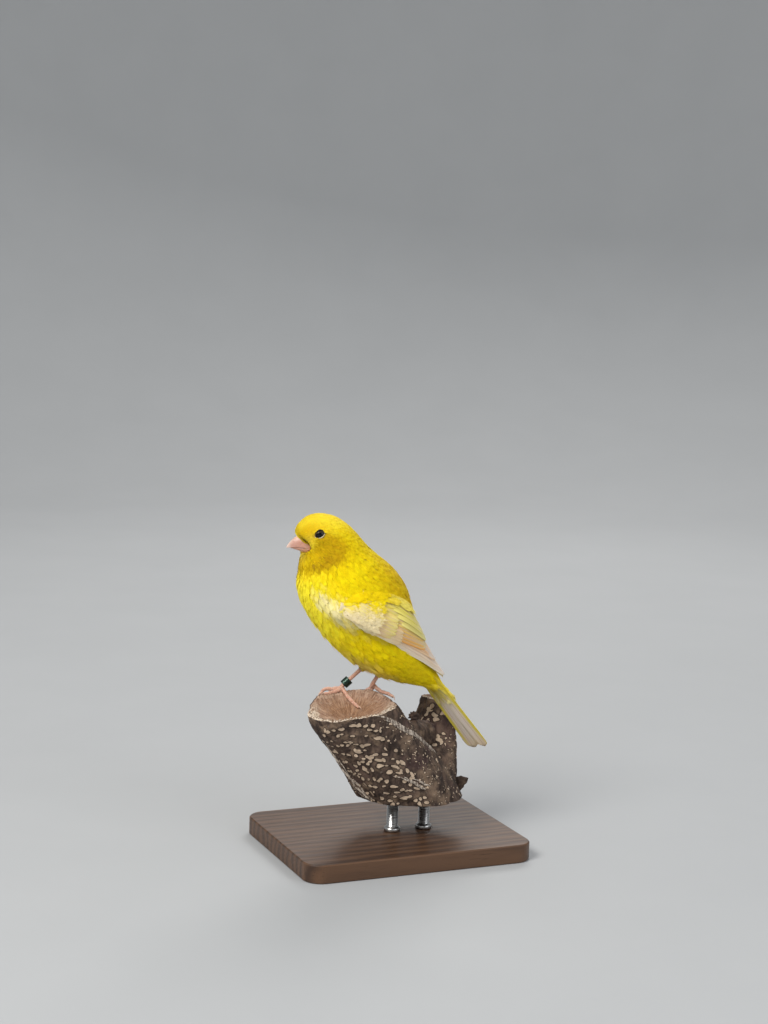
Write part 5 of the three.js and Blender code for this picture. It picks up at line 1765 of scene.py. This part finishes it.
def make_camera():
    """The photograph's camera: its place, its three directions and its focal length."""
    data = bpy.data.cameras.new("view")
    data.lens, data.sensor_width, data.sensor_fit = CAMERA_LENS, 36.0, "AUTO"
    data.clip_start, data.clip_end = 0.01, 20.0
    bpy.context.scene.camera = stood("view", data, CAMERA_RIGHT, CAMERA_UP, CAMERA_AHEAD, CAMERA_AT)


def light(name, place, aim, size, power, colour):
    """A square soft light at a place, turned to an aim, in metres and watts."""
    data = bpy.data.lights.new(name, "AREA")
    data.shape, data.size, data.energy, data.color = "SQUARE", size, power, colour
    ahead = unit(np.array(aim, float) - np.array(place, float))
    right = unit(np.cross(ahead, [0, 0, 1]))
    stood(name, data, right, np.cross(right, ahead), ahead, place)


def make_stage(strength):
    """A pale round floor that curves up into a wall on every side, soft lights and a pale world.

    The floor is a profile turned about the upright axis: level, a quarter circle, then the wall.
    """
    bend = np.linspace(0, np.pi / 2, 18)
    heights = np.concatenate([np.zeros(8), 0.7 * (1 - np.cos(bend)), [0.9, 1.1, 1.3]])
    reach = np.concatenate([np.linspace(0.02, 1.1, 9)[:-1], 1.1 + 0.7 * np.sin(bend), [1.8, 1.8, 1.8]])
    angle = circle(96)
    way = stacked(np.cos(angle), np.sin(angle), 0 * angle)
    points = way[None] * reach[:, None, None] + np.array([0, 0, 1.0]) * heights[:, None, None]
    quads = grid_faces(len(heights), 96, True)
    middle = stacked(len(heights) * 96, np.roll(np.arange(96), -1), np.arange(96))
    mesh = bpy.data.meshes.new("sweep")
    mesh.from_pydata([*points.reshape(-1, 3).tolist(), [0.0, 0.0, 0.0]], [], [
        *quads[:, ::-1].tolist(), *middle[:, ::-1].tolist()])
    mesh.polygons.foreach_set("use_smooth", np.ones(len(mesh.polygons), bool))
    mesh.materials.append(MATERIALS["backdrop"])
    sweep = bpy.data.objects.new("sweep", mesh)
    bpy.context.scene.collection.objects.link(sweep)
    light("key", (0.55, -1.0, 1.1), (0, 0, 0.09), 0.6, 20 * strength, (1.0, 0.98, 0.94))
    light("fill", (0.85, 0.46, 0.55), (0, 0, 0.09), 0.66, 2.8 * strength, (0.95, 0.97, 1.0))
    light("rim", (-0.9, 0.6, 1.0), (0, 0, 0.1), 0.6, 8 * strength, (1.0, 0.98, 0.95))
    world = bpy.data.worlds.new("sky")
    world.use_nodes = True
    background = world.node_tree.nodes["Background"]
    background.inputs["Color"].default_value = (0.92, 0.94, 0.96, 1)
    background.inputs["Strength"].default_value = 0.52 * strength
    bpy.context.scene.view_settings.view_transform = "Standard"
    bpy.context.scene.world = world


# Add-on


class CoatSettings(bpy.types.PropertyGroup):
    depth: FloatProperty(
        name="Coat depth", description="How far the skin lies under the plumage's surface, in millimetres",
        default=0.35, min=0.1, max=1.5, unit="NONE")
    length: FloatProperty(
        name="Feather length", description="The feathers' length as a share of the measured one",
        default=1.0, min=0.6, max=1.4, subtype="FACTOR")
    spacing: FloatProperty(
        name="Spacing", description="The distance between roots as a share of the feathers' length",
        default=0.25, min=0.2, max=0.6, subtype="FACTOR")
    yellow: FloatVectorProperty(
        name="Yellow", description="The plumage's colour under its markings",
        default=(0.84, 0.64, 0.0), min=0.0, max=1.0, subtype="COLOR")


class LegSettings(bpy.types.PropertyGroup):
    ring: FloatVectorProperty(
        name="Leg ring", description="The leg ring's lighter colour",
        default=(0.03, 0.06, 0.045), min=0.0, max=1.0, subtype="COLOR")


class PerchSettings(bpy.types.PropertyGroup):
    resolution: FloatProperty(
        name="Bark resolution", description="Density of the bark's grid",
        default=1.0, min=0.3, max=1.5, subtype="FACTOR")


class StandSettings(bpy.types.PropertyGroup):
    wood: FloatVectorProperty(
        name="Base's wood", description="The base's lighter colour",
        default=(0.115, 0.058, 0.030), min=0.0, max=1.0, subtype="COLOR")


class StageSettings(bpy.types.PropertyGroup):
    strength: FloatProperty(
        name="Light", description="Strength of all lights together, as a share",
        default=1.0, min=0.1, max=4.0, subtype="FACTOR")


class CANARY_OT_materials(bpy.types.Operator):
    """Makes the materials that all pieces share"""
    bl_idname = "canary.materials"
    bl_label = "Materials"

    def execute(self, context):
        make_materials()
        return {"FINISHED"}


class CANARY_OT_body(bpy.types.Operator):
    """Makes the skin and the feathers of head, neck, body and thighs"""
    bl_idname = "canary.body"
    bl_label = "Body and plumage"

    def execute(self, context):
        settings = context.scene.canary_coat
        surface, cover = plumage_surface()
        skin = skin_piece(surface, settings.depth)
        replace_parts(skin, "head", "neck", "torso", "thigh_left", "thigh_right")
        coat_pieces(surface, cover, settings.length, settings.spacing)
        thigh_pieces("left")
        thigh_pieces("right")
        return {"FINISHED"}


class CANARY_OT_wings(bpy.types.Operator):
    """Makes both folded wings, feather by feather"""
    bl_idname = "canary.wings"
    bl_label = "Wings"

    def execute(self, context):
        for side, name in ((1, "wing_left"), (-1, "wing_right")):
            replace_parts(wing_pieces(side, "feathers_" + name)[0], name)
        return {"FINISHED"}


class CANARY_OT_tail(bpy.types.Operator):
    """Makes the tail's feathers"""
    bl_idname = "canary.tail"
    bl_label = "Tail"

    def execute(self, context):
        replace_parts(tail_pieces()[0], "tail")
        return {"FINISHED"}


class CANARY_OT_bill(bpy.types.Operator):
    """Makes the bill's two halves and its corners"""
    bl_idname = "canary.bill"
    bl_label = "Bill"

    def execute(self, context):
        upper, lower = bill_pieces()[:2]
        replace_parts(upper, "bill_upper")
        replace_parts(lower, "bill_lower")
        return {"FINISHED"}


class CANARY_OT_eyes(bpy.types.Operator):
    """Makes both eyes with their lids"""
    bl_idname = "canary.eyes"
    bl_label = "Eyes"

    def execute(self, context):
        for side, name in ((1, "eye_left"), (-1, "eye_right")):
            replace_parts(eye_pieces(side, name + "_wet")[0], name)
        return {"FINISHED"}


class CANARY_OT_legs(bpy.types.Operator):
    """Makes the legs with feet and claws, and the leg ring"""
    bl_idname = "canary.legs"
    bl_label = "Legs"

    def execute(self, context):
        for side in ("left", "right"):
            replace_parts(leg_pieces(side)[0], "leg_" + side, "foot_" + side)
        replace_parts(ring_piece(), "leg_ring")
        return {"FINISHED"}


class CANARY_OT_perch(bpy.types.Operator):
    """Makes the forked branch"""
    bl_idname = "canary.perch"
    bl_label = "Branch"

    def execute(self, context):
        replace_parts(perch_pieces(context.scene.canary_perch.resolution)[0], "perch")
        return {"FINISHED"}


class CANARY_OT_stand(bpy.types.Operator):
    """Makes the stand's rods and gives its base a wooden finish"""
    bl_idname = "canary.stand"
    bl_label = "Stand"

    def execute(self, context):
        for index, rod in enumerate(rod_pieces()):
            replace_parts(rod, f"stand_rod_{index + 1}")
        base = bpy.data.objects["stand_base"]
        for slot in base.material_slots:
            slot.material = MATERIALS["stand_walnut"]
        return {"FINISHED"}


class CANARY_OT_stage(bpy.types.Operator):
    """Makes the floor, the lights and the photograph's camera"""
    bl_idname = "canary.stage"
    bl_label = "Stage"

    def execute(self, context):
        make_camera()
        make_stage(context.scene.canary_stage.strength)
        return {"FINISHED"}


OPERATORS = (
    CANARY_OT_materials, CANARY_OT_body, CANARY_OT_wings, CANARY_OT_tail, CANARY_OT_bill, CANARY_OT_eyes,
    CANARY_OT_legs, CANARY_OT_perch, CANARY_OT_stand, CANARY_OT_stage,
)


class CANARY_PT_panel(bpy.types.Panel):
    """Lists the canary's operators and settings in the 3D view's sidebar"""
    bl_idname = "CANARY_PT_panel"
    bl_label = "Canary"
    bl_space_type = "VIEW_3D"
    bl_region_type = "UI"
    bl_category = "Canary"

    def draw(self, context):
        scene = context.scene
        for name, kind in SETTINGS.items():
            for key in kind.__annotations__:
                self.layout.prop(getattr(scene, name), key)
        for operator in OPERATORS:
            self.layout.operator(operator.bl_idname)


SETTINGS = {
    "canary_coat": CoatSettings, "canary_legs": LegSettings, "canary_perch": PerchSettings,
    "canary_stand": StandSettings, "canary_stage": StageSettings,
}


def register():
    """Registers the classes and puts the settings on the scene."""
    for made in (*SETTINGS.values(), *OPERATORS, CANARY_PT_panel):
        bpy.utils.register_class(made)
    for key, made in SETTINGS.items():
        setattr(bpy.types.Scene, key, PointerProperty(type=made))


def unregister():
    """Takes the settings off the scene and unregisters the classes."""
    for key in SETTINGS:
        delattr(bpy.types.Scene, key)
    for made in reversed((*SETTINGS.values(), *OPERATORS, CANARY_PT_panel)):
        bpy.utils.unregister_class(made)


def main():
    register()
    for operator in OPERATORS:
        call = getattr(bpy.ops.canary, operator.bl_idname.split(".")[1])
        if call() != {"FINISHED"}:
            raise RuntimeError(operator.bl_label + " didn't finish")


if __name__ == "__main__":
    main()
